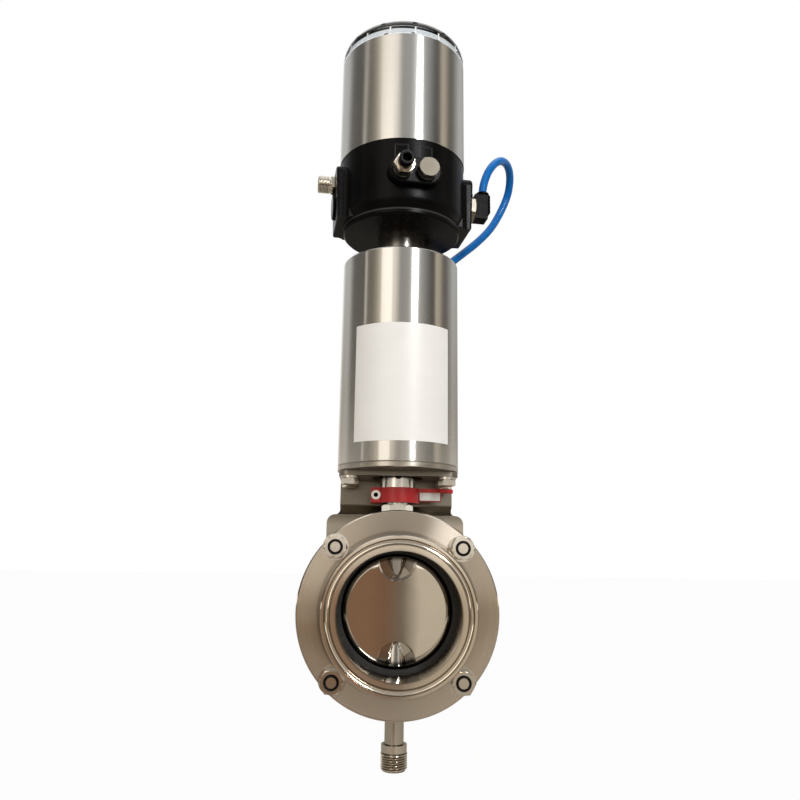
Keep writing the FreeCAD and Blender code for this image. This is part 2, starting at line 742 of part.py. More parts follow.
def fixing_washers():
    under = PLATE_Z - SHEET - WASHER_T
    return Part.makeCompound([tube(FIXING_AF / 2 + 1, FIXING_D / 2 + FIT, under, under + WASHER_T, x, y)
                              for x, y in fixing_places()])


# Coupling and indicator
def coupling():
    body = turned((0, COUPLING_Z0), (COUPLING_R - EDGE, COUPLING_Z0), (COUPLING_R, COUPLING_Z0 + EDGE),
                  (COUPLING_R, COUPLING_Z1 - EDGE), (COUPLING_R - EDGE, COUPLING_Z1), (0, COUPLING_Z1))
    bore = cylinder(STEM_R + FIT, COUPLING_Z0 - 1, STEM_TOP_Z)
    flat = block(-STEM_R - 1, STEM_R + 1, STEM_R - STEM_FLAT + FIT, STEM_R + 1, COUPLING_Z0 + 1, STEM_TOP_Z)
    half = SQUARE / 2 + FIT
    square = block(-half, half, -half, half, STEM_TOP_Z - 0.01, COUPLING_Z1 + 1)
    screw = Part.makeCylinder(SET_SCREW_D / 2 + FIT, COUPLING_R, V(0, -COUPLING_R - 1, SET_SCREW_Z), Y)
    return body.cut([bore.cut(flat), square, screw])


def set_screw():
    reach = COUPLING_R - SET_SCREW_DEEP - SQUARE / 2
    screw = cylinder(SET_SCREW_D / 2, 0, reach).cut(hexagon(SCREW_SOCKET_AF, -1, 2.0))
    return aim(screw, V(0, -COUPLING_R + SET_SCREW_DEEP, SET_SCREW_Z), Y)


def indicator():
    low = COUPLING_Z0
    high = low + RING_H
    ring = tube(RING_OUT_R, COUPLING_R + FIT, low, high)
    lug = block(-LUG_X, -COUPLING_R, LUG_Y0, LUG_Y1, low, high)
    lug = rounded(lug, 2.0, lambda e: e.BoundBox.ZLength > RING_H - 0.1
                  and e.BoundBox.Center.x < -LUG_X + 0.1)
    root = RING_OUT_R - RING_WALL + 0.9
    under = high - ARM_T
    points = [V(root, -ARM_Y, under), V(ARM_TAPER_X, -ARM_Y, under), V(ARM_TAPER_X + 2, -ARM_Y - 2, under),
              V(ARM_X, -1.2, under), V(ARM_X, 0.2, under), V(ARM_TAPER_X + 2, ARM_Y + 1, under),
              V(ARM_TAPER_X, ARM_Y - 1, under), V(root, ARM_Y - 1, under)]
    arm = Part.Face(Part.makePolygon(points + [points[0]])).extrude(V(0, 0, ARM_T))
    wall = block(root, TAG_X1 + 0.6, -TAG_WALL_Y, TAG_WALL_T - TAG_WALL_Y, under - TAG_H - 0.6, under + 0.5)
    body = joined(ring, lug, arm, wall).cut(cylinder(COUPLING_R + FIT, low - 1, high + 1))
    gap = block(-LUG_X - 1, -COUPLING_R + 1, -LUG_GAP, 0, low - 1, high + 1)
    hole = Part.makeCylinder(CLAMP_SCREW_D / 2 + FIT, 40, V(-RING_OUT_R, LUG_Y0 - 1, low + RING_H / 2), Y)
    head = Part.makeCylinder(CLAMP_SCREW_D + 0.1, 3.0, V(-RING_OUT_R, LUG_Y0 - 1, low + RING_H / 2), Y)
    return body.cut([gap, hole, head])


def indicator_screw():
    z = COUPLING_Z0 + RING_H / 2
    shank = cylinder(CLAMP_SCREW_D / 2, 0, LUG_Y1 - LUG_Y0 - 1.5)
    head = cylinder(CLAMP_SCREW_D, 0, 2.0).cut(hexagon(SCREW_SOCKET_AF, -1, 1.2))
    return aim(joined(shank.cut(cylinder(CLAMP_SCREW_D, -1, 1.9)), head), V(-RING_OUT_R, LUG_Y0, z), Y)


def indicator_tag():
    top = COUPLING_Z0 + RING_H - ARM_T
    return block(TAG_X0, TAG_X1, -TAG_WALL_Y - TAG_T, -TAG_WALL_Y, top - TAG_H, top)


# Actuator
def cap_floor_z():
    return PLATE_Z + CAP_LIP_H + CAP_SPIGOT


def bottom_cap():
    spigot_r = ACT_R - ACT_WALL - FIT
    top = PLATE_Z + CAP_LIP_H
    body = turned((0, PLATE_Z), (ACT_R - CAP_LIP_EDGE, PLATE_Z), (ACT_R, PLATE_Z + CAP_LIP_EDGE),
                  (ACT_R, top - CAP_SEAM), (ACT_R - CAP_SEAM, top), (spigot_r, top),
                  (spigot_r, cap_floor_z()),
                  (0, cap_floor_z()))
    recess = cylinder(COUPLING_R + CAP_RECESS_GAP, PLATE_Z - 1, BEARING_Z0)
    bore = cylinder(BEARING_R + FIT, PLATE_Z, cap_floor_z() + 1)
    taps = [cylinder(FIXING_D / 2, PLATE_Z - 1, PLATE_Z + FIXING_DEEP, x, y) for x, y in fixing_places()]
    return body.cut([recess, bore] + taps)


def shaft_bearing():
    top = cap_floor_z()
    rim = top + BEARING_RIM_T
    return turned((JOURNAL_R + RUN, BEARING_Z0), (BEARING_R, BEARING_Z0), (BEARING_R, top),
                  (CAM_FLANGE_R, top),
                  (CAM_FLANGE_R, rim), (JOURNAL_R + RUN, rim))


def actuator_tube():
    low = PLATE_Z + CAP_LIP_H
    inner = ACT_R - ACT_WALL
    rim = ACT_TOP_Z
    bend = ROLL_R * (1 - math.sqrt(0.5))
    seat = rim - ACT_WALL
    return turned((inner, low), (ACT_R - CAP_SEAM, low), (ACT_R, low + CAP_SEAM), (ACT_R, rim - ROLL_R),
                  ((ACT_R - bend, rim - bend), (ACT_R - ROLL_R, rim)), (inner - ROLL_IN, rim),
                  (inner - ROLL_IN, seat), (inner, seat))


def top_cap():
    top = ACT_TOP_Z - ACT_WALL
    low = top - TOP_CAP_T
    r = ACT_R - ACT_WALL - FIT
    seal = low + CAP_SEAL_RISE
    body = turned((0, low), (r - EDGE, low), (r, low + EDGE), (r, seal), (r - CAP_SEAL_DEEP, seal),
                  (r - CAP_SEAL_DEEP, seal + CAP_SEAL_W), (r, seal + CAP_SEAL_W), (r, top), (0, top))
    cuts = [cylinder(ROD_R + 1.0, low - 1, top + 1),
            cylinder(NECK_SPIGOT_R + FIT, top - NECK_SPIGOT, top + 1),
            cylinder(ROD_SEAL_R + FIT, top - NECK_SPIGOT - ROD_SEAL_H, top),
            cylinder(TUBE_R, low - 1, top + 1, AIR_X, AIR_Y),
            cylinder(THREAD_R, top - AIR_THREAD, top + 1, AIR_X, AIR_Y)]
    return body.cut(cuts)


def rod_seal():
    top = ACT_TOP_Z - ACT_WALL - NECK_SPIGOT
    return tube(ROD_SEAL_R, ROD_R + RUN, top - ROD_SEAL_H, top)


def cap_seal():
    low = ACT_TOP_Z - ACT_WALL - TOP_CAP_T + CAP_SEAL_RISE
    r = ACT_R - ACT_WALL - FIT
    return tube(r, r - CAP_SEAL_DEEP, low, low + CAP_SEAL_W)


def camshaft():
    flange = cap_floor_z() + BEARING_RIM_T
    half = SQUARE / 2
    body = turned((0, COUPLING_Z1), (JOURNAL_R, COUPLING_Z1), (JOURNAL_R, flange), (CAM_FLANGE_R, flange),
                  (CAM_FLANGE_R, flange + CAM_FLANGE_H), (CAM_R, flange + CAM_FLANGE_H),
                  (CAM_R, CAM_TOP_Z - 1),
                  (CAM_R - 1, CAM_TOP_Z), (0, CAM_TOP_Z))
    square = block(-half, half, -half, half, STEM_TOP_Z + 0.2, COUPLING_Z1 + 1)
    return joined(body, square).cut(cam_slot(0) + cam_slot(180))


def cam_slot(turn):
    """Cutters for a slot along a left-hand helix, a quarter turn over the stroke, with relieved ends."""
    width = PIN_D + 2 * CLEAR
    inner = CAM_R - CAM_SLOT_DEEP
    low = PIN_TOP_Z - STROKE
    ends = []
    for share in (0, 1):
        angle = math.radians(90 * (1 - share) + turn)
        way = V(math.cos(angle), math.sin(angle), 0)
        place = V(0, 0, low + STROKE * share) + way * inner
        ends.append(Part.makeCylinder(width / 2 + SLOT_RELIEF, CAM_SLOT_DEEP + 1, place, way))
    path = Part.makeHelix(4 * STROKE, STROKE, CAM_R, 0, True)
    path.rotate(V(), Z, 90 + turn)
    path.translate(V(0, 0, low))
    start = V(math.cos(math.radians(90 + turn)), math.sin(math.radians(90 + turn)), 0)
    tangent = V(start.y, -start.x, math.tan(math.atan2(4 * STROKE, 2 * math.pi * CAM_R)))
    tangent.normalize()
    across = tangent.cross(start)
    across.normalize()
    corners = [start * inner - across * (width / 2), start * (CAM_R + 1) - across * (width / 2),
               start * (CAM_R + 1) + across * (width / 2), start * inner + across * (width / 2)]
    corners = [corner + V(0, 0, low) for corner in corners]
    profile = Part.makePolygon(corners + [corners[0]])
    swept = Part.Wire(path.Edges).makePipeShell([profile], True, True)
    return [swept] + ends


def guide_tube():
    low = cap_floor_z()
    foot = low + GUIDE_FOOT_T
    floor = low + BEARING_RIM_T + CAM_FLANGE_H + 1
    body = turned((CAM_FLANGE_R + CLEAR, low), (GUIDE_FOOT_R, low), (GUIDE_FOOT_R, foot), (GUIDE_R, foot),
                  (GUIDE_R, GUIDE_TOP_Z), (GUIDE_BORE_R, GUIDE_TOP_Z), (GUIDE_BORE_R, floor),
                  (CAM_FLANGE_R + CLEAR, floor))
    width = PIN_D + 2 * RUN
    bottom = PIN_TOP_Z - STROKE
    slot = block(-GUIDE_R - 1, GUIDE_R + 1, -width / 2, width / 2, bottom, GUIDE_TOP_Z + 1)
    end = Part.makeCylinder(width / 2, 2 * GUIDE_R + 2, V(-GUIDE_R - 1, 0, bottom), X)
    return body.cut([slot, end])


def piston():
    r = ACT_R - ACT_WALL - CLEAR
    top = PISTON_Z0 + PISTON_H
    seat = PISTON_Z0 + (PISTON_H - PISTON_SEAL_W) / 2
    body = turned((0, PISTON_Z0), (r, PISTON_Z0), (r, seat), (r - PISTON_SEAL_DEEP, seat),
                  (r - PISTON_SEAL_DEEP, seat + PISTON_SEAL_W), (r, seat + PISTON_SEAL_W), (r, top - 1),
                  (r - 1, top), (0, top))
    sleeve = tube(SLEEVE_R, SLEEVE_BORE_R, SLEEVE_BOTTOM_Z, PISTON_Z0 + 1)
    holes = Part.makeCylinder(PIN_D / 2, 2 * SLEEVE_R + 2, V(-SLEEVE_R - 1, 0, PIN_TOP_Z), X)
    rod = cylinder(ROD_R, PISTON_Z0 + ROD_SEAT, top + 1)
    return joined(body, sleeve).cut([holes, rod])


def piston_seal():
    r = ACT_R - ACT_WALL - RUN
    root = ACT_R - ACT_WALL - CLEAR - PISTON_SEAL_DEEP
    seat = PISTON_Z0 + (PISTON_H - PISTON_SEAL_W) / 2
    middle = seat + PISTON_SEAL_W / 2
    return turned((root, seat), (r - 0.8, seat), (r, middle - 0.6), (r, middle + 0.6),
                  (r - 0.8, seat + PISTON_SEAL_W), (root, seat + PISTON_SEAL_W))


def drive_pins():
    inner = CAM_R - CAM_SLOT_DEEP + CLEAR
    outer = GUIDE_R - 0.4
    reach = outer - inner
    return Part.makeCompound([Part.makeCylinder(PIN_D / 2, reach, V(side * inner, 0, PIN_TOP_Z), X * side)
                              for side in (-1, 1)])


def return_spring():
    low = cap_floor_z() + SPRING_WIRE / 2
    high = PISTON_Z0 - SPRING_WIRE / 2
    pitch = (high - low) / SPRING_TURNS
    path = Part.makeHelix(pitch, high - low, SPRING_R)
    path.translate(V(0, 0, low))
    start = V(SPRING_R, 0, low)
    tangent = V(0, 2 * math.pi * SPRING_R, pitch)
    wire = Part.Wire(Part.makeCircle(SPRING_WIRE / 2, start, tangent))
    return Part.Wire(path.Edges).makePipeShell([wire], True, True)


def position_rod():
    low = PISTON_Z0 + ROD_SEAT
    return turned((0, low), (ROD_R, low), (ROD_R, ROD_TOP_Z - MAGNET_H), (ROD_TIP_R, ROD_TOP_Z - MAGNET_H),
                  (ROD_TIP_R, ROD_TOP_Z), (0, ROD_TOP_Z))


def magnet():
    return tube(MAGNET_R, ROD_TIP_R, ROD_TOP_Z - MAGNET_H, ROD_TOP_Z)


# Neck
def neck():
    cap_top = ACT_TOP_Z - ACT_WALL
    top = BASE_Z + BASE_FLOOR + NECK_NUT_H + 1
    return turned((NECK_BORE_R, cap_top - NECK_SPIGOT), (NECK_SPIGOT_R, cap_top - NECK_SPIGOT),
                  (NECK_SPIGOT_R, cap_top), (NECK_R, cap_top), (NECK_R, BASE_Z), (NECK_THREAD_R, BASE_Z),
                  (NECK_THREAD_R, top - 0.8), (NECK_THREAD_R - 0.8, top), (NECK_BORE_R, top))


def neck_nut():
    low = BASE_Z + BASE_FLOOR
    return hexagon(2 * NECK_NUT_R * math.cos(math.pi / 6), low, low + NECK_NUT_H, chamfer=EDGE).cut(
        cylinder(NECK_THREAD_R + FIT, low - 1, low + NECK_NUT_H + 1))


# Control head
def head_base():
    lip_z = BASE_Z + BASE_LIP_H
    inner = BASE_R - BASE_WALL
    spigot = SHELL_R - SHELL_WALL - FIT
    outer = turned((0, BASE_Z), (BASE_LIP_R - BASE_LIP_EDGE, BASE_Z), (BASE_LIP_R, BASE_Z + BASE_LIP_EDGE),
                   (BASE_LIP_R, lip_z),
                   (BASE_LIP_R + 0.5, lip_z + BASE_LIP_GAP), (BASE_R, BASE_CONE_Z), (BASE_R, SEAM_Z), (spigot, SEAM_Z),
                   (spigot, SEAM_Z + SPIGOT_H), (0, SEAM_Z + SPIGOT_H))
    bosses = [side_boss(side) for side in (-1, 1)]
    hollow = turned((0, BASE_Z + BASE_FLOOR), (inner - 5, BASE_Z + BASE_FLOOR), (inner, BASE_CONE_Z + 3),
                    (inner, SEAM_Z + SPIGOT_H + 1), (0, SEAM_Z + SPIGOT_H + 1))
    seal = SEAM_Z + SHELL_SEAL_RISE
    groove = tube(spigot + 1, spigot - SHELL_SEAL_DEEP, seal, seal + SHELL_SEAL_W)
    neck_hole = cylinder(NECK_THREAD_R + FIT, BASE_Z - 1, BASE_Z + BASE_FLOOR + 1)
    body = joined(outer, port_pad(), *bosses)
    inserts = [Part.makeCylinder(THREAD_R, PORT_Y + 1, V(x, -PORT_Y - 1, PORT_Z), Y)
               for x in (-PORT_X, PORT_X)]
    cable = Part.makeCylinder(CONNECTOR_R - CONNECTOR_WALL, SIDE_X + 1, V(-SIDE_X - 1, 0, CONNECTOR_Z), X)
    outlet = Part.makeCylinder(THREAD_R, SIDE_X, V(0, 0, ELBOW_Z), X)
    faces = [aim(cylinder(CONNECTOR_FLANGE_R + CLEAR, 0, SIDE_X), V(-connector_seat_x(), 0, CONNECTOR_Z), -X),
             aim(cylinder(ELBOW_STEM_AF / math.sqrt(3) + CLEAR, 0, SIDE_X), V(elbow_seat_x(), 0, ELBOW_Z), X)]
    cuts = [hollow, groove, neck_hole, cable, outlet] + inserts + faces + label_recesses()
    return in_head(body.cut(cuts))


def side_face_x(z):
    return SIDE_LOW_X + (SIDE_X - SIDE_LOW_X) * (z - BASE_Z) / (SIDE_TOP_Z - BASE_Z)


def connector_seat_x():
    """The spot face is cut just deep enough to be round on the tapered pad."""
    return side_face_x(CONNECTOR_Z - CONNECTOR_FLANGE_R - CLEAR)


def elbow_seat_x():
    return side_face_x(ELBOW_Z - ELBOW_STEM_AF / math.sqrt(3) - CLEAR)


def side_boss(side):
    """A pad on one side of the base, over its lip, with round corners and a hollow blend into the round wall."""
    low = BASE_Z + BASE_LIP_H + BASE_LIP_GAP
    points = [V(SIDE_ROOT_X, 0, low), V(side_face_x(low), 0, low), V(SIDE_X, 0, SIDE_TOP_Z),
              V(SIDE_ROOT_X, 0, SIDE_TOP_Z)]
    pad = Part.Face(Part.makePolygon(points + [points[0]])).extrude(V(0, 2 * SIDE_HALF, 0))
    pad.translate(V(0, -SIDE_HALF, 0))
    pad = rounded(pad, SIDE_ROUND, lambda e: e.BoundBox.XLength > 15 and e.BoundBox.Center.z > SIDE_TOP_Z - 1)
    pad = rounded(pad, SIDE_EDGE, lambda e: e.BoundBox.Center.x > SIDE_LOW_X - 0.5 and e.BoundBox.XLength < 2)
    pad = joined(pad, *side_blends(low))
    return pad if side > 0 else pad.mirror(V(), X)


def side_blends(low):
    """The hollow corners between a pad and the round wall: the arc touches both."""
    centre = V(0, SIDE_HALF + SIDE_BLEND, 0)
    centre.x = math.sqrt((BASE_R + SIDE_BLEND) ** 2 - centre.y ** 2)
    foot = centre * (BASE_R / (BASE_R + SIDE_BLEND))
    start = V(centre.x, SIDE_HALF, 0)
    way = ((foot - centre).normalize() + (start - centre).normalize()).normalize()
    corner = V(SIDE_ROOT_X, SIDE_HALF - 1, 0)
    edges = [Part.LineSegment(corner, V(centre.x, corner.y, 0)).toShape(),
             Part.LineSegment(V(centre.x, corner.y, 0), start).toShape(),
             Part.Arc(start, centre + way * SIDE_BLEND, foot).toShape(),
             Part.LineSegment(foot, V(SIDE_ROOT_X, foot.y, 0)).toShape(),
             Part.LineSegment(V(SIDE_ROOT_X, foot.y, 0), corner).toShape()]
    blend = Part.Face(Part.Wire(edges)).extrude(V(0, 0, SIDE_TOP_Z - SIDE_ROUND - low))
    blend.translate(V(0, 0, low))
    return [blend, blend.mirror(V(), Y)]


def port_pad():
    pads = [Part.makeCylinder(PORT_PAD_R, PORT_PAD_L, V(x, -PORT_Y, PORT_Z), Y) for x in (-PORT_X, PORT_X)]
    middle = block(-PORT_X, PORT_X, -PORT_Y, PORT_PAD_L - PORT_Y, PORT_Z - PORT_PAD_R, PORT_Z + PORT_PAD_R)
    pad = joined(pads[0], pads[1], middle)
    return rounded(pad, 1.2, lambda e: abs(e.BoundBox.Center.y + PORT_Y) < 0.01 and e.BoundBox.YLength < 0.01)


def label_recesses():
    """Two bare square recesses over the ports, as deep all over the round wall."""
    low = PORT_Z + PORT_PAD_R + LABEL_UP
    high = low + 2 * LABEL_HALF
    skin = tube(BASE_R + 1, BASE_R - LABEL_DEEP, low, high)
    return [skin.common(block(x - LABEL_HALF, x + LABEL_HALF, -BASE_R - 1, 0, low, high))
            for x in (-PORT_X, PORT_X)]


def head_shell():
    inner = SHELL_R - SHELL_WALL
    return tube(SHELL_R, inner, SEAM_Z, SHELL_TOP_Z)


def light_ring():
    low = SHELL_TOP_Z
    inner = SHELL_R - SHELL_WALL
    top = low + LIGHT_H
    seat_r = CAP_R - CAP_STEP
    return turned((inner - LIGHT_WALL, low - LIGHT_SPIGOT), (inner - FIT, low - LIGHT_SPIGOT),
                  (inner - FIT, low),
                  (SHELL_R, low), (SHELL_R - 0.2, top), (seat_r, top), (seat_r, top - CAP_SPIGOT_H),
                  (inner - LIGHT_WALL, top - CAP_SPIGOT_H))


def head_cap():
    low = SHELL_TOP_Z + LIGHT_H
    high = low + CAP_H
    turn = CAP_SHOULDER * (1 - math.sqrt(0.5))
    seat_r = CAP_R - CAP_STEP - FIT
    inner = seat_r - CAP_WALL + 1
    dome = turned((inner, low - CAP_SPIGOT_H), (inner, high - 2 * CAP_WALL), (0, high - CAP_WALL),
                  (0, high + CAP_CROWN),
                  (CAP_R - CAP_SHOULDER, high), ((CAP_R - turn, high - turn), (CAP_R, high - CAP_SHOULDER)),
                  (CAP_R, low), (seat_r, low), (seat_r, low - CAP_SPIGOT_H))
    notches = []
    for k in range(CAP_NOTCHES):
        notch = block(CAP_R - CAP_NOTCH_DEEP, CAP_R + 1, -CAP_NOTCH_W / 2, CAP_NOTCH_W / 2,
                      low + CAP_NOTCH_RISE, high + 1)
        notch.rotate(V(), Z, 360 * k / CAP_NOTCHES)
        notches.append(notch)
    return in_head(dome.cut(notches))


def shell_seal():
    spigot = SHELL_R - SHELL_WALL - FIT
    low = SEAM_Z + SHELL_SEAL_RISE
    return tube(spigot, spigot - SHELL_SEAL_DEEP, low, low + SHELL_SEAL_W)


def circuit_board():
    """The board with three plain chips, whose places are shares of its width and height."""
    face = BOARD_Y - BOARD_T
    height = BOARD_TOP_Z - SHELF_Z
    board = block(-BOARD_HALF, BOARD_HALF, face, BOARD_Y, SHELF_Z, BOARD_TOP_Z)
    chips = []
    for left, wide, rise, high in ((-0.75, 0.44, 0.58, 0.16), (0.06, 0.62, 0.44, 0.14),
                                   (-0.19, 0.31, 0.77, 0.12)):
        x = left * BOARD_HALF
        z = SHELF_Z + rise * height
        chips.append(block(x, x + wide * BOARD_HALF, face - CHIP_T, face, z, z + high * height))
    return in_head(joined(board, *chips))


def valve_front_y():
    """The valve block's front corners stay just inside the base's round wall."""
    return -math.sqrt((BASE_R - BASE_WALL - VALVE_GAP) ** 2 - VALVE_HALF ** 2)


def solenoid_valve():
    top = SHELF_Z + VALVE_FOOT_H
    front = valve_front_y()
    coil = block(-VALVE_HALF, COIL_W - VALVE_HALF, front + COIL_IN, front + COIL_IN + COIL_W, top,
                 top + COIL_H)
    foot = block(-VALVE_HALF, VALVE_HALF, front, front + VALVE_W, SHELF_Z, top)
    return in_head(joined(coil, foot))


def board_carrier():
    """A moulded carrier that stands on the base's floor and holds the board and the valve block."""
    low = BASE_Z + BASE_FLOOR
    over_nut = low + NECK_NUT_H + CARRIER_GAP
    half = BOARD_HALF - BOARD_EDGE
    plate = block(-half, half, BOARD_Y, BOARD_Y + CARRIER_T, over_nut, BOARD_TOP_Z - BOARD_EDGE)
    feet = [block(x - CARRIER_FOOT_HALF, x + CARRIER_FOOT_HALF, BOARD_Y, BOARD_Y + 2 * CARRIER_T, low,
                  over_nut + 0.5)
            for x in (-CARRIER_FOOT_X, CARRIER_FOOT_X)]
    shelf = block(-SHELF_HALF, SHELF_HALF, SHELF_FRONT_Y, BOARD_Y, SHELF_Z - SHELF_T, SHELF_Z)
    shelf = shelf.cut(cylinder(MAGNET_R + 3, SHELF_Z - SHELF_T - 1, SHELF_Z + 1))
    return in_head(joined(plate, shelf, *feet))


# Fittings
def push_in_body():
    """A straight push-in fitting: hexagon, round body and threaded end, built along Z from its seat."""
    body = joined(hexagon(HEX_AF, 0, HEX_H, chamfer=EDGE), cylinder(PUSH_BODY_R, HEX_H, HEX_H + PUSH_BODY_H),
                  cylinder(THREAD_R - FIT, -THREAD_L, 0))
    hole = cylinder(TUBE_HOLE_R, -THREAD_L - 1, HEX_H + PUSH_BODY_H + 1)
    return body.cut([hole, collet_seat(HEX_H + PUSH_BODY_H)])


def collet_seat(face):
    return cylinder(COLLET_NECK_R + RUN, face - COLLET_H, face + 1)


def collet(face):
    """A release collet that slides in its fitting, with a flange proud of the face."""
    low = face - COLLET_H + 0.1 + COLLET_PLAY
    rim = face + COLLET_PLAY + 0.2
    return turned((TUBE_HOLE_R, low), (COLLET_NECK_R, low), (COLLET_NECK_R, rim), (COLLET_R, rim),
                  (COLLET_R, rim + 1.4), (COLLET_R - 0.5, rim + 1.9), (TUBE_HOLE_R, rim + 1.9))


def on_port(shape, x):
    return in_head(aim(shape, V(x, -PORT_Y - SEAL_WASHER_T, PORT_Z), -Y))


def port_washers():
    ring = tube(HEX_AF / 2 + 0.3, THREAD_R, 0, SEAL_WASHER_T)
    rings = [aim(ring, V(x, -PORT_Y, PORT_Z), -Y) for x in (-PORT_X, PORT_X)]
    return in_head(Part.makeCompound(rings))


def port_plug():
    body = joined(hexagon(HEX_AF, 0, PLUG_HEX_H, chamfer=0.9), cylinder(THREAD_R - FIT, -THREAD_L, 0))
    return on_port(body, PORT_X)


def connector():
    """A round plug connector with a hexagonal flange, an open sleeve and a core for its contacts."""
    sleeve = tube(CONNECTOR_R, CONNECTOR_R - CONNECTOR_WALL, 0, CONNECTOR_L)
    core = cylinder(CONNECTOR_R - 1.8 * CONNECTOR_WALL, 0, CONNECTOR_L - 3)
    flange = hexagon(2 * CONNECTOR_FLANGE_R * math.cos(math.pi / 6), 0, CONNECTOR_FLANGE_T, chamfer=EDGE)
    tail = cylinder(CONNECTOR_R - CONNECTOR_WALL - FIT, -8, 0)
    return in_head(aim(joined(sleeve, core, flange, tail), V(-connector_seat_x(), 0, CONNECTOR_Z), -X))


def vent_cover():
    """A flat round cover seated in line with the tapered pad."""
    lean = math.atan2(SIDE_X - SIDE_LOW_X, SIDE_TOP_Z - BASE_Z)
    cover = turned((0, 0), (COVER_R, 0), (COVER_R, COVER_T - 0.7), (COVER_R - 0.7, COVER_T), (0, COVER_T))
    way = V(-math.cos(lean), 0, -math.sin(lean))
    return in_head(aim(cover, V(-side_face_x(COVER_Z), 0, COVER_Z), way))


def elbow_stem():
    seat = elbow_seat_x()
    body = joined(hexagon(ELBOW_STEM_AF, 0, ELBOW_STEM_T, chamfer=EDGE),
                  cylinder(THREAD_R - FIT, -THREAD_L, 0),
                  cylinder(SPIGOT_R, ELBOW_STEM_T, ELBOW_X - seat))
    body = body.cut(cylinder(TUBE_R - 1, -THREAD_L - 1, ELBOW_X - seat + 1))
    return in_head(aim(body, V(seat, 0, ELBOW_Z), X))


def elbow_body():
    seat = elbow_seat_x() + ELBOW_STEM_T
    body = block(seat, ELBOW_X + ELBOW_HALF, -ELBOW_HALF, ELBOW_HALF, ELBOW_Z - ELBOW_LOW,
                 ELBOW_Z + ELBOW_TOP)
    body = rounded(body, 2.5, lambda e: e.BoundBox.ZLength > 10 and e.BoundBox.Center.x > ELBOW_X)
    corner = block(ELBOW_X + ELBOW_HALF / 2, ELBOW_X + ELBOW_HALF + 1, -ELBOW_HALF - 1, ELBOW_HALF + 1,
                   ELBOW_Z - ELBOW_LOW - 1, ELBOW_Z - 2)
    top = ELBOW_Z + ELBOW_TOP
    collet_hole = collet_seat(top)
    collet_hole.translate(V(ELBOW_X, 0, 0))
    cuts = [corner, Part.makeCylinder(SPIGOT_R + FIT, ELBOW_X - seat, V(seat, 0, ELBOW_Z), X),
            cylinder(TUBE_HOLE_R, ELBOW_Z, top + 1, ELBOW_X), collet_hole]
    return in_head(body.cut(cuts))


def elbow_collet():
    ring = collet(ELBOW_Z + ELBOW_TOP)
    ring.translate(V(ELBOW_X, 0, 0))
    return in_head(ring)


def air_way():
    turn = math.radians(AIR_TURN)
    return V(math.cos(turn), math.sin(turn), 0)


def air_elbow():
    """The elbow on the actuator: threaded stem with a hexagon, post, and a barrel with its collet's lip."""
    base = ACT_TOP_Z - ACT_WALL
    centre = V(AIR_X, AIR_Y, AIR_Z)
    mouth = centre + air_way() * AIR_REACH
    body = joined(
        hexagon(AIR_HEX_AF, base, base + AIR_HEX_H, AIR_X, AIR_Y, chamfer=EDGE),
        cylinder(THREAD_R - FIT, base - AIR_THREAD, base, AIR_X, AIR_Y),
        cylinder(AIR_BODY_R + CLEAR, base + AIR_HEX_H, AIR_Z + AIR_BODY_R + CLEAR, AIR_X, AIR_Y),
        aim(cylinder(AIR_BODY_R, 0, AIR_REACH - AIR_LIP), centre, air_way()),
        aim(cylinder(COLLET_NECK_R, -AIR_LIP - 1, 0), mouth, air_way()),
        aim(cylinder(COLLET_R - 0.2, -AIR_LIP / 2, 0), mouth, air_way()))
    return body.cut([cylinder(TUBE_R - 1, base - AIR_THREAD - 1, AIR_Z, AIR_X, AIR_Y),
                     aim(cylinder(TUBE_HOLE_R, 0, AIR_REACH + 1), centre, air_way())])


# Hose
def hose_points():
    """The route, chosen by hand: up from the head's elbow, over outwards and down to the actuator's elbow."""
    turn = math.radians(HEAD_TURN)
    start = V(ELBOW_X * math.cos(turn), ELBOW_X * math.sin(turn), ELBOW_Z + ELBOW_TOP - HOSE_DEEP)
    mouth = V(AIR_X, AIR_Y, AIR_Z) + air_way() * AIR_REACH
    return [start, V(start.x, start.y, 300.0), V(63.5, 9.5, 312.5), V(67.5, 11.5, 320.5),
            V(72.5, 16.0, 327.5),
            V(77.5, 22.0, 332.5), V(83.0, 30.0, 334.5), V(87.0, 38.5, 332.5), V(88.5, 45.5, 327.0),
            V(87.5, 50.5, 318.0), V(82.0, 51.5, 304.5), V(73.5, 49.5, 288.5), V(61.5, 46.0, 274.5),
            V(49.5, 41.5, 263.0), V(39.0, 36.5, 252.5), mouth + air_way() * 8, mouth - air_way() * HOSE_DEEP]


def hose():
    points = hose_points()
    edges = []
    at = points[0]
    for before, point, after in zip(points, points[1:], points[2:]):
        enter = (before - point).normalize()
        leave = (after - point).normalize()
        half = (math.pi - enter.getAngle(leave)) / 2
        reach = 0.45 * min((before - point).Length, (after - point).Length)
        radius = reach / math.tan(half)
        print("hose arc radius", round(radius, 1), "turn", round(math.degrees(2 * half)))
        first = point + enter * reach
        last = point + leave * reach
        way = (enter + leave).normalize()
        middle = point + way * (radius / math.cos(half) - radius)
        edges.append(Part.LineSegment(at, first).toShape())
        edges.append(Part.Arc(first, middle, last).toShape())
        at = last
    edges.append(Part.LineSegment(at, points[-1]).toShape())
    path = Part.Wire(edges)
    ring = Part.Wire(Part.makeCircle(TUBE_R, points[0], points[1] - points[0]))
    solid = path.makePipeShell([ring], True, False)
    print("hose length", round(path.Length, 1), "volume ratio",
          round(solid.Volume / (math.pi * TUBE_R ** 2 * path.Length), 4))
    return solid


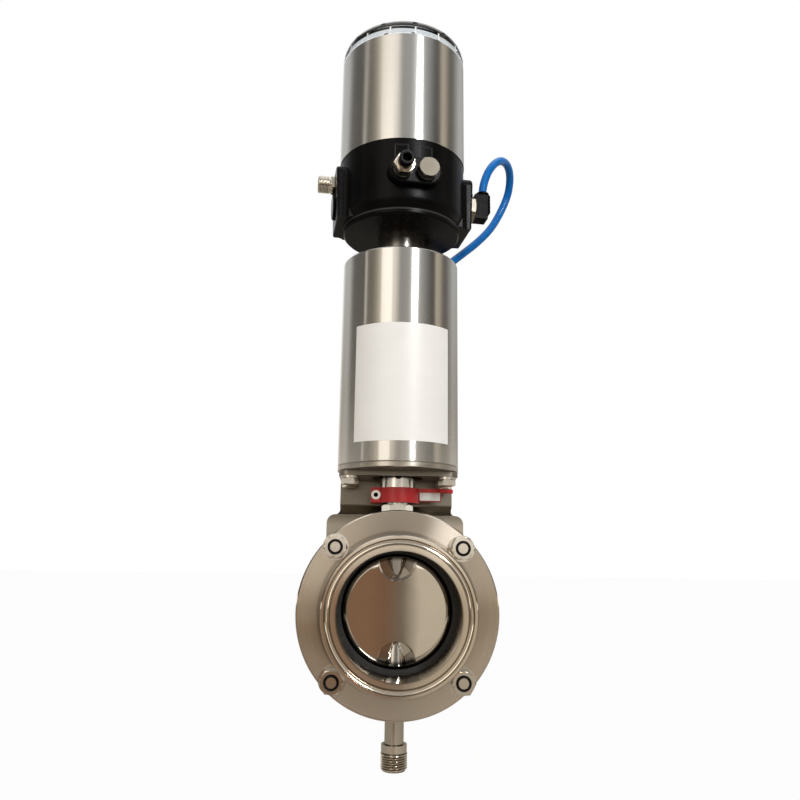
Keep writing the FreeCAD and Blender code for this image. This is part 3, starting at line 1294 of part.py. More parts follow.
def main():
    os.makedirs("parts", exist_ok=True)
    pieces = {
        "front_flange": body_flange(-1), "rear_flange": body_flange(1), "body_ring": body_ring(),
        "front_seal": seal_ring(-1), "rear_seal": seal_ring(1), "body_bolts": fastener_row(body_bolt),
        "body_nuts": fastener_row(body_nut), "body_washers": fastener_row(body_washers),
        "disc": disc(), "stem": stem(), "trunnion": trunnion(), "upper_bush": stem_bush(BUSH_Z0, BUSH_Z1),
        "lower_bush": stem_bush(LOWER_BUSH_Z, -BUSH_Z0), "stem_o_rings": stem_o_rings(),
        "gland_nut": gland_nut(),
        "drain_tube": drain_tube(), "drain_fitting": drain_fitting(), "bracket": bracket(),
        "fixing_bolts": fixing_bolts(), "fixing_washers": fixing_washers(), "coupling": coupling(),
        "set_screw": set_screw(), "indicator": indicator(), "indicator_screw": indicator_screw(),
        "indicator_tag": indicator_tag(), "actuator_bottom_cap": bottom_cap(),
        "shaft_bearing": shaft_bearing(),
        "actuator_tube": actuator_tube(), "actuator_top_cap": top_cap(), "rod_seal": rod_seal(),
        "cap_seal": cap_seal(), "camshaft": camshaft(), "guide_tube": guide_tube(), "piston": piston(),
        "piston_seal": piston_seal(), "drive_pins": drive_pins(), "return_spring": return_spring(),
        "position_rod": position_rod(), "magnet": magnet(), "neck": neck(), "neck_nut": neck_nut(),
        "head_base": head_base(), "head_shell": head_shell(), "light_ring": light_ring(),
        "head_cap": head_cap(),
        "shell_seal": shell_seal(), "circuit_board": circuit_board(), "board_carrier": board_carrier(),
        "solenoid_valve": solenoid_valve(), "port_fitting": on_port(push_in_body(), -PORT_X),
        "port_collet": on_port(collet(HEX_H + PUSH_BODY_H), -PORT_X), "port_washers": port_washers(),
        "port_plug": port_plug(), "connector": connector(), "vent_cover": vent_cover(),
        "elbow_stem": elbow_stem(), "elbow_body": elbow_body(), "elbow_collet": elbow_collet(),
        "air_elbow": air_elbow(), "hose": hose(),
    }
    for node, shape in pieces.items():
        save(node, shape)


main()
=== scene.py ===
import math

import bpy
import numpy as np
from mathutils import Matrix, Vector


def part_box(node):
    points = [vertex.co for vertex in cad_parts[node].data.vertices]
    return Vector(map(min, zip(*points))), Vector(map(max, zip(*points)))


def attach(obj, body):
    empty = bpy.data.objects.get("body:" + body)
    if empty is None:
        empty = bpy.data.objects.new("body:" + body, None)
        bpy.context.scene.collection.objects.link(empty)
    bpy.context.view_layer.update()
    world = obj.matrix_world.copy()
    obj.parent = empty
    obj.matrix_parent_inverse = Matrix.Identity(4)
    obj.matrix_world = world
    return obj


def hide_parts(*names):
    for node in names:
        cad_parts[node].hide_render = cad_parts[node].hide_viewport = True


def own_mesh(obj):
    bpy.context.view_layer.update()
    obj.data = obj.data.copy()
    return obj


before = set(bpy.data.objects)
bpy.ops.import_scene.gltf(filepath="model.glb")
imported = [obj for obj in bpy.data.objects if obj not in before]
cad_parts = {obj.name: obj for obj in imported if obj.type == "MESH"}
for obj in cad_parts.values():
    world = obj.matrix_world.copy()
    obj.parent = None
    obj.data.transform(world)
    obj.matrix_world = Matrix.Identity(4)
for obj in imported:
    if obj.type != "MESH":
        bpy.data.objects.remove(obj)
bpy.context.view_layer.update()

# Camera: it stands a little left of the valve and below its middle, and looks up at it.
# Its place comes from the ellipses of the ferrule, the flange and the steel tubes in the photograph.
camera_place = Vector((-0.01955, -0.48604, 0.03435))
camera_turn = math.radians(2.40)
camera_tilt = math.radians(11.96)
camera_roll = math.radians(0.79)
ahead = Vector((math.sin(camera_turn) * math.cos(camera_tilt), math.cos(camera_turn) * math.cos(camera_tilt),
                math.sin(camera_tilt)))
level = ahead.cross(Vector((0, 0, 1))).normalized()
upright = level.cross(ahead)
right = level * math.cos(camera_roll) + upright * math.sin(camera_roll)
up = upright * math.cos(camera_roll) - level * math.sin(camera_roll)
camera_data = bpy.data.cameras.new("camera")
camera_data.lens = 32.823
camera_data.sensor_width = 36.0
camera_data.clip_start = 0.01
camera = bpy.data.objects.new("camera", camera_data)
camera.matrix_world = Matrix.Translation(camera_place) @ Matrix((right, up, -ahead)).transposed().to_4x4()
bpy.context.scene.collection.objects.link(camera)
bpy.context.scene.camera = camera
bpy.context.scene.view_settings.view_transform = "Standard"

# Air hose: 6 mm polyurethane tube. It leaves the head's elbow upwards, turns over outwards and comes down
# to the elbow on the actuator. The points are the ones that part.py lists, in metres. The bevel is 1 m
# deep and each point scales it to the tube, so that the box round the curve fits the tube.
hose_radius = 0.003
hose_points = [
    (0.06001, 0.00843, 0.2915), (0.06001, 0.00843, 0.3), (0.0635, 0.0095, 0.3125), (0.0675, 0.0115, 0.3205),
    (0.0725, 0.016, 0.3275), (0.0775, 0.022, 0.3325), (0.083, 0.03, 0.3345), (0.087, 0.0385, 0.3325),
    (0.0885, 0.0455, 0.327), (0.0875, 0.0505, 0.318), (0.082, 0.0515, 0.3045), (0.0735, 0.0495, 0.2885),
    (0.0615, 0.046, 0.2745), (0.0495, 0.0415, 0.263), (0.039, 0.0365, 0.2525), (0.02872, 0.0305, 0.245),
    (0.02006, 0.0255, 0.245)]
hose_curve = bpy.data.curves.new("air_hose", "CURVE")
hose_curve.dimensions = "3D"
hose_curve.resolution_u = 12
hose_curve.bevel_depth = 1.0
hose_curve.bevel_resolution = 8
hose_line = hose_curve.splines.new("NURBS")
hose_line.points.add(len(hose_points) - 1)
for spot, place in zip(hose_line.points, hose_points):
    spot.co = (*place, 1.0)
    spot.radius = hose_radius
hose_line.order_u = 3
hose_line.use_endpoint_u = True
hose = bpy.data.objects.new("air_hose", hose_curve)
bpy.context.scene.collection.objects.link(hose)
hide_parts("hose")
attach(hose, "housing")


def inlet(made, label):
    """A socket of the material's Principled shader."""
    return made.node_tree.nodes["Principled BSDF"].inputs[label]


def plain(name, colour, roughness, metallic=0.0, **fixed):
    """A material with one Principled shader, whose constants are set on its sockets."""
    made = bpy.data.materials.new(name)
    made.use_nodes = True
    inlet(made, "Base Color").default_value = (*colour, 1.0)
    inlet(made, "Roughness").default_value = roughness
    inlet(made, "Metallic").default_value = metallic
    for label, value in fixed.items():
        inlet(made, label.replace("_", " ")).default_value = value
    return made


def object_place(made):
    return made.node_tree.nodes.new("ShaderNodeTexCoord").outputs["Object"]


def feed(tree, value, socket):
    """Gives a socket its value: another socket, a number, or three numbers for a colour."""
    if hasattr(value, "is_linked"):
        tree.links.new(value, socket)
    elif isinstance(value, tuple):
        socket.default_value = (*value, 1.0)
    else:
        socket.default_value = value


def maths(tree, kind, a, b=0.0):
    """One step of arithmetic on two values."""
    step = tree.nodes.new("ShaderNodeMath")
    step.operation = kind
    feed(tree, a, step.inputs[0])
    feed(tree, b, step.inputs[1])
    return step.outputs[0]


def mix(tree, share, first, second, kind="MIX"):
    """Mixes two colours: a share of 0 gives the first, and 1 the second."""
    mixed = tree.nodes.new("ShaderNodeMix")
    mixed.data_type = "RGBA"
    mixed.blend_type = kind
    feed(tree, share, mixed.inputs[0])
    feed(tree, first, mixed.inputs[6])
    feed(tree, second, mixed.inputs[7])
    return mixed.outputs[2]


def ranged(tree, value, low, high, to_low=0.0, to_high=1.0, kind="LINEAR"):
    """Maps low and high to two other values, and holds them beyond."""
    mapped = tree.nodes.new("ShaderNodeMapRange")
    mapped.interpolation_type = kind
    mapped.inputs["From Min"].default_value = low
    mapped.inputs["From Max"].default_value = high
    mapped.inputs["To Min"].default_value = to_low
    mapped.inputs["To Max"].default_value = to_high
    tree.links.new(value, mapped.inputs["Value"])
    return mapped.outputs["Result"]


def clouds(tree, vector, scale, detail=3.0, rough=0.55):
    noise = tree.nodes.new("ShaderNodeTexNoise")
    feed(tree, scale, noise.inputs["Scale"])
    noise.inputs["Detail"].default_value = detail
    noise.inputs["Roughness"].default_value = rough
    tree.links.new(vector, noise.inputs["Vector"])
    return noise.outputs["Fac"]


def spread(tree, value, low, high):
    """Maps a noise, which mostly lies in 0.3 to 0.7, to low to high."""
    return ranged(tree, value, 0.3, 0.7, low, high)


def tint(made, value, low, high):
    """Gives the material a colour between two, by a noise."""
    tree = made.node_tree
    tree.links.new(mix(tree, spread(tree, value, 0.0, 1.0), low, high), inlet(made, "Base Color"))


def raise_surface(made, height, distance, strength=1.0):
    """Lets a height of 0 to 1 stand out by the distance in metres, in the way the light falls."""
    bump = made.node_tree.nodes.new("ShaderNodeBump")
    bump.inputs["Distance"].default_value = distance
    bump.inputs["Strength"].default_value = strength
    made.node_tree.links.new(height, bump.inputs["Height"])
    made.node_tree.links.new(bump.outputs["Normal"], inlet(made, "Normal"))


def effect(name, sockets, outputs):
    """An empty shader node group with named inputs and outputs."""
    tree = bpy.data.node_groups.new(name, "ShaderNodeTree")
    for label, kind, value in sockets:
        made = tree.interface.new_socket(name=label, in_out="INPUT", socket_type=kind)
        if value is not None:
            made.default_value = value
    for label, kind in outputs:
        tree.interface.new_socket(name=label, in_out="OUTPUT", socket_type=kind)
    return tree, tree.nodes.new("NodeGroupInput"), tree.nodes.new("NodeGroupOutput")


def place_effect(made, group, **values):
    """Puts a group into a material with the values of its inputs, and returns its outputs."""
    node = made.node_tree.nodes.new("ShaderNodeGroup")
    node.node_tree = group
    for label, value in values.items():
        feed(made.node_tree, value, node.inputs[label])
    return node.outputs


# Handling marks: soft clouds that a cloth and fingers leave on anything smooth.
# The mask lies in 0 to 1, round a middle of 0.5.
soil, soil_in, soil_out = effect(
    "handling_marks", [("Position", "NodeSocketVector", None), ("Size", "NodeSocketFloat", 40.0)],
    [("Mask", "NodeSocketFloat")])
soil_mask = clouds(soil, soil_in.outputs["Position"], soil_in.outputs["Size"], detail=4.0)
soil.links.new(soil_mask, soil_out.inputs["Mask"])


def handled(made, size, rough, shade=None, grain=0.0, grain_size=2500.0, strength=1.0):
    """Lets the roughness, and the colour if there are two, drift with the handling marks.

    rough is the range of roughness, and shade the two colours. A grain is the depth in metres of the fine
    texture that a moulding tool leaves.
    """
    position = object_place(made)
    marks = place_effect(made, soil, Position=position, Size=size)["Mask"]
    made.node_tree.links.new(spread(made.node_tree, marks, *rough), inlet(made, "Roughness"))
    if shade:
        tint(made, marks, *shade)
    if grain:
        raise_surface(made, clouds(made.node_tree, position, grain_size), grain, strength)


blue_tube = plain("blue_polyurethane", (0.002, 0.11, 0.45), 0.16, IOR=1.5, Coat_Weight=0.1,
                  Coat_Roughness=0.08, Specular_IOR_Level=0.2)
handled(blue_tube, 60.0, (0.13, 0.24), ((0.001, 0.13, 0.48), (0.002, 0.18, 0.60)))
hose_curve.materials.append(blue_tube)

# Room: the steel mirrors a made-up white studio, seen as upright bands, pale and dark, all the way round.
# The camera itself, and what is seen through the clear plastic, has plain white behind the valve.
world = bpy.data.worlds.new("studio")
bpy.context.scene.world = world
world.use_nodes = True
sky = world.node_tree
sky.nodes.clear()


def split(tree, position):
    """The three coordinates of a position."""
    parts = tree.nodes.new("ShaderNodeSeparateXYZ")
    tree.links.new(position, parts.inputs[0])
    return parts.outputs["X"], parts.outputs["Y"], parts.outputs["Z"]


def ramp(tree, value, stops):
    """A colour for each value in 0 to 1: pairs of value and colour, in rising order."""
    made = tree.nodes.new("ShaderNodeValToRGB")
    tree.links.new(value, made.inputs["Fac"])
    for number, (at, colour) in enumerate(stops):
        stop = made.color_ramp.elements[number] if number < 2 else made.color_ramp.elements.new(at)
        stop.position = at
        stop.color = (*colour, 1.0)
    return made.outputs["Color"]


look_x, look_y, look_z = split(sky, sky.nodes.new("ShaderNodeTexCoord").outputs["Generated"])
bearing = maths(sky, "ARCTAN2", look_x, maths(sky, "MULTIPLY", look_y, -1.0))
way_round = maths(sky, "ADD", maths(sky, "DIVIDE", bearing, 2 * math.pi), 0.5)

# Upper room: each band has its bearing in degrees from the camera's side, its brightness and its warmth,
# which lifts the red by that share and lowers the blue by 1.4 times as much.
blue_loss = 1.4
band_list = [
    (-180, 0.55, 0.0), (-166, 1.10, 0.0), (-158, 1.10, 0.0), (-150, 0.60, 0.0), (-124, 0.66, 0.0),
    (-109, 0.14, 0.03), (-84, 0.12, 0.05), (-77, 0.11, 0.07), (-75.5, 0.95, 0.06), (-73, 0.95, 0.06),
    (-71, 0.12, 0.12), (-62, 0.16, 0.13), (-52, 0.36, 0.13), (-40, 0.95, 0.09), (-30, 1.15, 0.07),
    (-14, 1.15, 0.06), (-4, 0.46, 0.02), (0, 0.40, 0.01), (12, 0.44, 0.0), (18, 0.66, 0.0),
    (23, 1.20, -0.01), (30, 1.20, -0.01), (34, 0.62, -0.01), (47, 0.32, 0.0), (62, 0.06, 0.0),
    (69, 0.05, 0.02), (73, 0.62, 0.12), (82, 0.52, 0.13), (90, 0.18, 0.09), (101, 0.12, 0.05),
    (126, 0.62, 0.0), (150, 0.50, 0.0)]
bands = ramp(sky, way_round, [
    (degrees / 360 + 0.5, (bright * (1 + warm), bright, bright * (1 - blue_loss * warm)))
    for degrees, bright, warm in band_list])

# Level with the valve the room is darker and warm, pale on the right of the camera and brown on its left.
# Each band has its bearing in degrees and its colour.
side_list = [
    (-180, (0.30, 0.27, 0.23)), (-163, (0.42, 0.38, 0.32)), (-150, (0.10, 0.09, 0.08)),
    (-125, (0.50, 0.48, 0.43)), (-106, (0.50, 0.48, 0.43)), (-89, (0.30, 0.28, 0.26)),
    (-71, (0.15, 0.14, 0.12)), (-56, (0.04, 0.035, 0.03)), (-43, (0.14, 0.11, 0.08)),
    (-30, (0.34, 0.26, 0.17)), (-8, (0.24, 0.16, 0.10)), (1.1, (0.24, 0.13, 0.075)),
    (2.4, (0.10, 0.07, 0.05)), (2.9, (0.20, 0.16, 0.12)), (3.3, (0.58, 0.51, 0.41)),
    (22, (0.52, 0.46, 0.36)), (32, (0.32, 0.27, 0.20)), (43, (0.10, 0.08, 0.06)),
    (56, (0.04, 0.03, 0.025)), (71, (0.07, 0.06, 0.05)), (86, (0.15, 0.14, 0.12)),
    (104, (0.42, 0.40, 0.37)), (128, (0.50, 0.48, 0.43)), (150, (0.10, 0.09, 0.08)),
    (163, (0.36, 0.32, 0.27)), (180, (0.30, 0.27, 0.23))]
side = ramp(sky, way_round, [(degrees / 360 + 0.5, tone) for degrees, tone in side_list])


def fade(low, high):
    """A soft step over the height of the direction of sight, which is -1 straight down and 1 straight up."""
    return ranged(sky, look_z, low, high, kind="SMOOTHSTEP")


# From the ground up: the dark ground, the warm side, a pale strip just above the level, the bands in the
# warm tone of the wall's foot, the plain bands, and the ceiling.
white = (1.0, 1.0, 1.0)
ground_tone, strip_tone, ceiling_tone = (0.13, 0.105, 0.08), (1.25, 1.18, 1.05), (1.2, 1.2, 1.2)
foot_tone = (0.62, 0.56, 0.49)
upper = mix(sky, fade(0.12, 0.42), mix(sky, 1.0, bands, foot_tone, "MULTIPLY"), bands)
room = mix(sky, fade(-0.006, 0.010), side, strip_tone)
room = mix(sky, fade(0.065, 0.11), room, upper)
room = mix(sky, fade(0.74, 0.90), room, ceiling_tone)
room = mix(sky, fade(-0.45, -0.08), ground_tone, room)
paths = sky.nodes.new("ShaderNodeLightPath").outputs
straight = maths(sky, "MAXIMUM", paths["Is Camera Ray"], paths["Is Transmission Ray"])
backing = sky.nodes.new("ShaderNodeBackground")
sky.links.new(mix(sky, straight, room, white), backing.inputs["Color"])
sky_out = sky.nodes.new("ShaderNodeOutputWorld")
sky.links.new(backing.outputs[0], sky_out.inputs["Surface"])


# Lamps: a narrow key on the right, above the camera, and a broad warm fill on the left.
# Each has its place, the point that it faces, its width and height in metres, and its power in watts.
def lamp(name, place, aim, size, power, tone=white):
    data = bpy.data.lights.new(name, "AREA")
    data.shape = "RECTANGLE"
    data.size, data.size_y = size
    data.energy = power
    data.color = tone
    made = bpy.data.objects.new(name, data)
    made.location = place
    made.rotation_euler = (Vector(aim) - Vector(place)).to_track_quat("-Z", "Y").to_euler()
    bpy.context.scene.collection.objects.link(made)


lamp("key_lamp", (0.57, -1.17, 0.75), (0.0, 0.0, 0.05), (0.18, 0.5), power=9.0)
lamp("fill_lamp", (-0.65, -1.2, 0.4), (0.0, 0.0, 0.12), (0.5, 1.2), power=1.3, tone=(1.0, 0.95, 0.9))

# Floor: plain and matt, well below the valve, which is carried by its pipe.
# The camera sees it almost white, like the background of the photograph, and the rest is its own shade.
floor_half, floor_near, floor_far, floor_z = 8.0, -0.9, 12.0, -0.30
floor_white_share = 0.97
floor_mesh = bpy.data.meshes.new("floor")
floor_corners = [(-floor_half, floor_near, floor_z), (floor_half, floor_near, floor_z),
                 (floor_half, floor_far, floor_z), (-floor_half, floor_far, floor_z)]
floor_mesh.from_pydata(floor_corners, [], [(0, 1, 2, 3)])
floor = bpy.data.objects.new("floor", floor_mesh)
bpy.context.scene.collection.objects.link(floor)
floor_look = plain("floor_white", (0.42, 0.38, 0.33), 0.9)
tree = floor_look.node_tree
glow = tree.nodes.new("ShaderNodeEmission")
glow.inputs["Color"].default_value = (*white, 1.0)
seen = tree.nodes.new("ShaderNodeLightPath").outputs["Is Camera Ray"]
laid = tree.nodes.new("ShaderNodeMixShader")
tree.links.new(maths(tree, "MULTIPLY", seen, floor_white_share), laid.inputs[0])
tree.links.new(tree.nodes["Principled BSDF"].outputs[0], laid.inputs[1])
tree.links.new(glow.outputs[0], laid.inputs[2])
tree.links.new(laid.outputs[0], tree.nodes["Material Output"].inputs["Surface"])
floor_mesh.materials.append(floor_look)

# Corners: every piece is shaded smooth with its real corners kept sharp, by a geometry group. Doubles are
# merged, an edge that turns more than 28 degrees stays sharp, and flat faces keep their own direction.
merge_within = 0.000002
sharp_angle = math.radians(28)
corners = bpy.data.node_groups.new("keep_corners", "GeometryNodeTree")
corners.interface.new_socket(name="Geometry", in_out="INPUT", socket_type="NodeSocketGeometry")
corners.interface.new_socket(name="Geometry", in_out="OUTPUT", socket_type="NodeSocketGeometry")
start = corners.nodes.new("NodeGroupInput")
end = corners.nodes.new("NodeGroupOutput")
merge = corners.nodes.new("GeometryNodeMergeByDistance")
merge.inputs["Distance"].default_value = merge_within
bend = corners.nodes.new("GeometryNodeInputMeshEdgeAngle")
soft = corners.nodes.new("FunctionNodeCompare")
soft.operation = "LESS_THAN"
soft.inputs[1].default_value = sharp_angle
faces = corners.nodes.new("GeometryNodeSetShadeSmooth")
faces.domain = "FACE"
edges = corners.nodes.new("GeometryNodeSetShadeSmooth")
edges.domain = "EDGE"
corners.links.new(start.outputs[0], merge.inputs["Geometry"])
corners.links.new(merge.outputs[0], faces.inputs["Geometry"])
corners.links.new(faces.outputs[0], edges.inputs["Geometry"])
corners.links.new(bend.outputs["Unsigned Angle"], soft.inputs[0])
corners.links.new(soft.outputs[0], edges.inputs["Shade Smooth"])
corners.links.new(edges.outputs[0], end.inputs[0])


def smooth(piece):
    keeper = piece.modifiers.new("corners", "NODES")
    keeper.node_group = corners
    flat = piece.modifiers.new("flat_faces", "WEIGHTED_NORMAL")
    flat.keep_sharp = True
    flat.weight = 100


def finish(material, *names):
    """Gives CAD nodes their finish."""
    for name in names:
        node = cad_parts[name]
        smooth(node)
        if not node.material_slots:
            node.data.materials.append(material)
        for slot in node.material_slots:
            slot.material = material


# Tool marks: fine rings that turning or brushing leaves round an axis. The height is noise of the radius
# and the distance along the axis, both at the mark spacing, with a slow change round the piece.
def distance(tree, a, b):
    """The square root of a squared plus b squared."""
    squares = maths(tree, "ADD", maths(tree, "MULTIPLY", a, a), maths(tree, "MULTIPLY", b, b))
    return maths(tree, "SQRT", squares)


turning, turning_in, turning_out = effect(
    "tool_marks",
    [("Position", "NodeSocketVector", None), ("Marks", "NodeSocketFloat", 5000.0),
     ("Drift", "NodeSocketFloat", 25.0)],
    [("Height", "NodeSocketFloat"), ("Radius", "NodeSocketFloat")])
mark_x, mark_y, mark_z = split(turning, turning_in.outputs["Position"])
radius = distance(turning, mark_x, mark_y)
along = maths(turning, "MULTIPLY", maths(turning, "ADD", radius, mark_z), turning_in.outputs["Marks"])
ring = turning.nodes.new("ShaderNodeCombineXYZ")
turning.links.new(along, ring.inputs["X"])
turning.links.new(maths(turning, "MULTIPLY", mark_x, turning_in.outputs["Drift"]), ring.inputs["Y"])
turning.links.new(maths(turning, "MULTIPLY", mark_y, turning_in.outputs["Drift"]), ring.inputs["Z"])
mark_height = clouds(turning, ring.outputs[0], 1.0, detail=2.0, rough=0.6)
turning.links.new(mark_height, turning_out.inputs["Height"])
turning.links.new(radius, turning_out.inputs["Radius"])


def turned_place(made, turn):
    """Object coordinates turned by three angles."""
    mapping = made.node_tree.nodes.new("ShaderNodeMapping")
    mapping.inputs["Rotation"].default_value = turn
    made.node_tree.links.new(object_place(made), mapping.inputs["Vector"])
    return mapping.outputs[0]


axis_to_z = {"X": (0.0, -math.pi / 2, 0.0), "Y": (math.pi / 2, 0.0, 0.0), "Z": (0.0, 0.0, 0.0)}
dull_share = 0.93
hand_size = 35.0


def steel(name, axis, colour, roughness, marks, depth, anisotropic=0.0, soiled=0.05, drift=25.0, zones=()):
    """Metal worked round an axis: rings in the normal, cloudy roughness and a faint change of tone.

    marks is how many rings there are in a metre, and depth is their depth in metres. soiled is how far the
    roughness drifts, and drift how fast the rings change round the piece. A zone is a radius and how many
    times rougher the metal is inside it, the innermost first.
    """
    made = plain(name, colour, roughness, 1.0, Anisotropic=anisotropic, Anisotropic_Rotation=0.25)
    tree = made.node_tree
    lines = place_effect(made, turning, Position=turned_place(made, axis_to_z[axis]), Marks=marks,
                         Drift=drift)
    hand = place_effect(made, soil, Position=object_place(made), Size=hand_size)
    both = maths(tree, "ADD", maths(tree, "MULTIPLY", lines["Height"], 0.5),
                 maths(tree, "MULTIPLY", hand["Mask"], 0.5))
    worn = spread(tree, both, roughness - soiled, roughness + soiled)
    factor = 1.0
    for edge, times in reversed(zones):
        inside = maths(tree, "LESS_THAN", lines["Radius"], edge)
        change = maths(tree, "MULTIPLY", inside, maths(tree, "SUBTRACT", times, factor))
        factor = maths(tree, "ADD", factor, change)
    if zones:
        worn = maths(tree, "MULTIPLY", worn, factor)
    tree.links.new(worn, inlet(made, "Roughness"))
    dull = tuple(dull_share * part for part in colour)
    tint(made, lines["Height"], dull, colour)
    raise_surface(made, lines["Height"], depth)
    if anisotropic:
        grain = tree.nodes.new("ShaderNodeTangent")
        grain.direction_type = "RADIAL"
        grain.axis = axis
        tree.links.new(grain.outputs[0], inlet(made, "Tangent"))
    return made


def overlaid(made, share, second, kind):
    """Mixes the material's colour, as it is so far, with a second colour."""
    base = inlet(made, "Base Color")
    made.node_tree.links.new(mix(made.node_tree, share, base.links[0].from_socket, second, kind), base)


def darkened(made, share):
    """Multiplies the material's colour by a grey value, which paints shade into it, or light where above 1.
    """
    overlaid(made, 1.0, share, "MULTIPLY")


def paint_ring_shading(made, axis, stops):
    """Deepens the colour of turned steel ring by ring, by pairs of radius and share of light.

    Shares below 1 are painted shade and painted reflections of dark parts, and shares above 1 are painted
    highlights. The ramp's range of 0 to 1 is a radius of 0 to 0.1 m.
    """
    rings = place_effect(made, turning, Position=turned_place(made, axis_to_z[axis]))
    tenths = maths(made.node_tree, "MULTIPLY", rings["Radius"], 10.0)
    darkened(made, ramp(made.node_tree, tenths, [(10.0 * radius, (share,) * 3) for radius, share in stops]))


# Body flanges: 316L discs faced and turned on a lathe, with a clamp ferrule for the pipe on each.
# The hub's steps and grooves carry painted shade and painted highlights, and the face outside them is turned
# more coarsely.
turned_face = steel("turned_flange", "Y", (0.61, 0.55, 0.47), 0.10, marks=3500.0, depth=0.000002,
                    anisotropic=1.0, soiled=0.015,
                    zones=((0.0369, 0.8), (0.0458, 1.1), (0.0500, 2.0), (0.0603, 2.1)))
# Painted shade in the grooves and beside the ferrule; shares above 1 are painted highlights on the ring
# edges.
paint_ring_shading(turned_face, "Y", [
    (0.0360, 0.75), (0.0369, 0.90), (0.0372, 1.3), (0.0395, 1.4), (0.0398, 0.40), (0.0402, 0.40),
    (0.0405, 1.35), (0.0425, 1.35), (0.0429, 0.40), (0.0432, 0.40), (0.0436, 1.4), (0.0449, 1.3),
    (0.0453, 0.70), (0.0478, 0.60), (0.0492, 1.0), (0.0560, 1.06)])
finish(turned_face, "front_flange", "rear_flange")

# Body ring: turned stainless steel, clamped between the flanges and bored for the stem and the drain.
# The bearing, the guide tube and the neck's nut are turned in the same way.
turned_ring = steel("turned_ring", "Z", (0.60, 0.56, 0.50), 0.28, marks=3000.0, depth=0.000004,
                    anisotropic=0.3)
finish(turned_ring, "body_ring", "shaft_bearing", "guide_tube", "neck_nut")

# Seal rings and O-rings: black EPDM, moulded, with a dull bloom.
# They sit in grooves of the pieces that they seal.
rubber = plain("black_rubber", (0.012, 0.012, 0.013), 0.5)
handled(rubber, 160.0, (0.42, 0.6), ((0.009, 0.009, 0.010), (0.02, 0.02, 0.021)))
finish(rubber, "front_seal", "rear_seal", "stem_o_rings", "rod_seal", "cap_seal", "piston_seal",
       "shell_seal")

# Disc: stainless steel polished to a mirror, with the faint clouds that buffing leaves.
# It is darkened with painted reflection and shade towards the seals, and with painted shade in the pockets
# at the stem, which lie deeper than its faces.
disc_face = 0.0155
pocket_painted_shade = 0.4
mirror = plain("mirror_steel", (0.80, 0.76, 0.69), 0.03, 1.0)
handled(mirror, 30.0, (0.015, 0.05), ((0.76, 0.72, 0.65), (0.82, 0.78, 0.71)))
# Painted reflection of the dark seals and bore on the disc's rounded rim.
paint_ring_shading(mirror, "Y", [
    (0.0290, 1.0), (0.0302, 1.0), (0.0312, 0.55), (0.0322, 0.14), (0.0350, 0.10), (0.0372, 0.25)])
tree = mirror.node_tree
# Painted shade in the pockets at the stem.
deep = maths(tree, "ABSOLUTE", split(tree, object_place(mirror))[1])
sunk = maths(tree, "LESS_THAN", deep, disc_face)
darkened(mirror, maths(tree, "SUBTRACT", 1.0, maths(tree, "MULTIPLY", sunk, pocket_painted_shade)))
finish(mirror, "disc")

# Stem and trunnion: stainless rounds, ground and polished. The rod, pins, coupling and gland nut are the
# same. The stem turns in two bushes, and the coupling joins it to the camshaft.
polished = steel("polished_steel", "Z", (0.72, 0.70, 0.66), 0.16, marks=4000.0, depth=0.000002,
                 anisotropic=0.4)
finish(polished, "stem", "trunnion", "position_rod", "drive_pins", "coupling", "gland_nut")

# Fasteners: cold-formed stainless steel with a grey satin finish. Four bolts with nuts hold the body, and
# four short ones hold the actuator to the bracket. The coupling's set screw is of blackened steel.
bolt_steel = steel("bolt_steel", "Y", (0.72, 0.68, 0.62), 0.15, marks=6000.0, depth=0.000001, soiled=0.04)
finish(bolt_steel, "body_bolts", "body_nuts", "body_washers", "fixing_bolts", "fixing_washers")
black_screw = plain("blackened_steel", (0.02, 0.02, 0.022), 0.42, 0.8)
handled(black_screw, 300.0, (0.35, 0.55))
finish(black_screw, "set_screw")

# Bushes: plain turned bronze, pressed into the body ring above and below the disc.
# The stem and the trunnion turn in them.
bronze = steel("bronze", "Z", (0.52, 0.33, 0.15), 0.34, marks=3000.0, depth=0.000003)
finish(bronze, "upper_bush", "lower_bush")

# Drain tube: drawn stainless tube, welded into the body ring's lower boss.
# It carries a leak past either seal down to the drain fitting.
tube_steel = steel("drawn_tube", "Z", (0.62, 0.575, 0.50), 0.16, marks=2500.0, depth=0.000004,
                   anisotropic=0.5)
finish(tube_steel, "drain_tube")

# Drain fitting: a turned stainless collar with a dished mouth, and below it a cut pipe thread for the
# drain hose. The tube is pushed into the collar and welded round inside. The thread's roots carry painted
# shade.
drain_end, drain_thread_top, drain_shoulder = -0.0955, -0.0855, -0.0846
drain_seat, drain_collar = -0.0826, -0.0803
drain_bore_r, drain_tip_r, drain_thread_r, drain_relief_r = 0.0045, 0.0072, 0.00833, 0.0071
drain_collar_r, drain_mouth_r, drain_tube_r = 0.0080, 0.0072, 0.00603
drain_chamfer = 0.0012
drain_pitch = 0.00134
drain_depth = 0.00095
coarse_step = 0.002
thread_step = 0.00013
round_count = 72


def steps(*path, spacing=0.003):
    """Points along straight lines from place to place, no further apart than the spacing in metres."""
    rows = [np.array([path[0]])]
    for start, end in zip(path[:-1], path[1:]):
        start, end = np.array(start), np.array(end)
        count = max(1, math.ceil(np.linalg.norm(end - start) / spacing))
        rows.append(start + (end - start) * np.linspace(0, 1, count + 1)[1:, None])
    return np.concatenate(rows)


def turned(path, around=round_count, cut=0.0):
    """A surface turned round Z: path gives (r, z), and each row is a circle of radius r less the cut."""
    angle = np.linspace(0, 2 * math.pi, around, endpoint=False)
    radius = path[:, :1] - cut
    return np.stack([radius * np.cos(angle), radius * np.sin(angle), path[:, 1:] + 0 * angle], axis=-1)


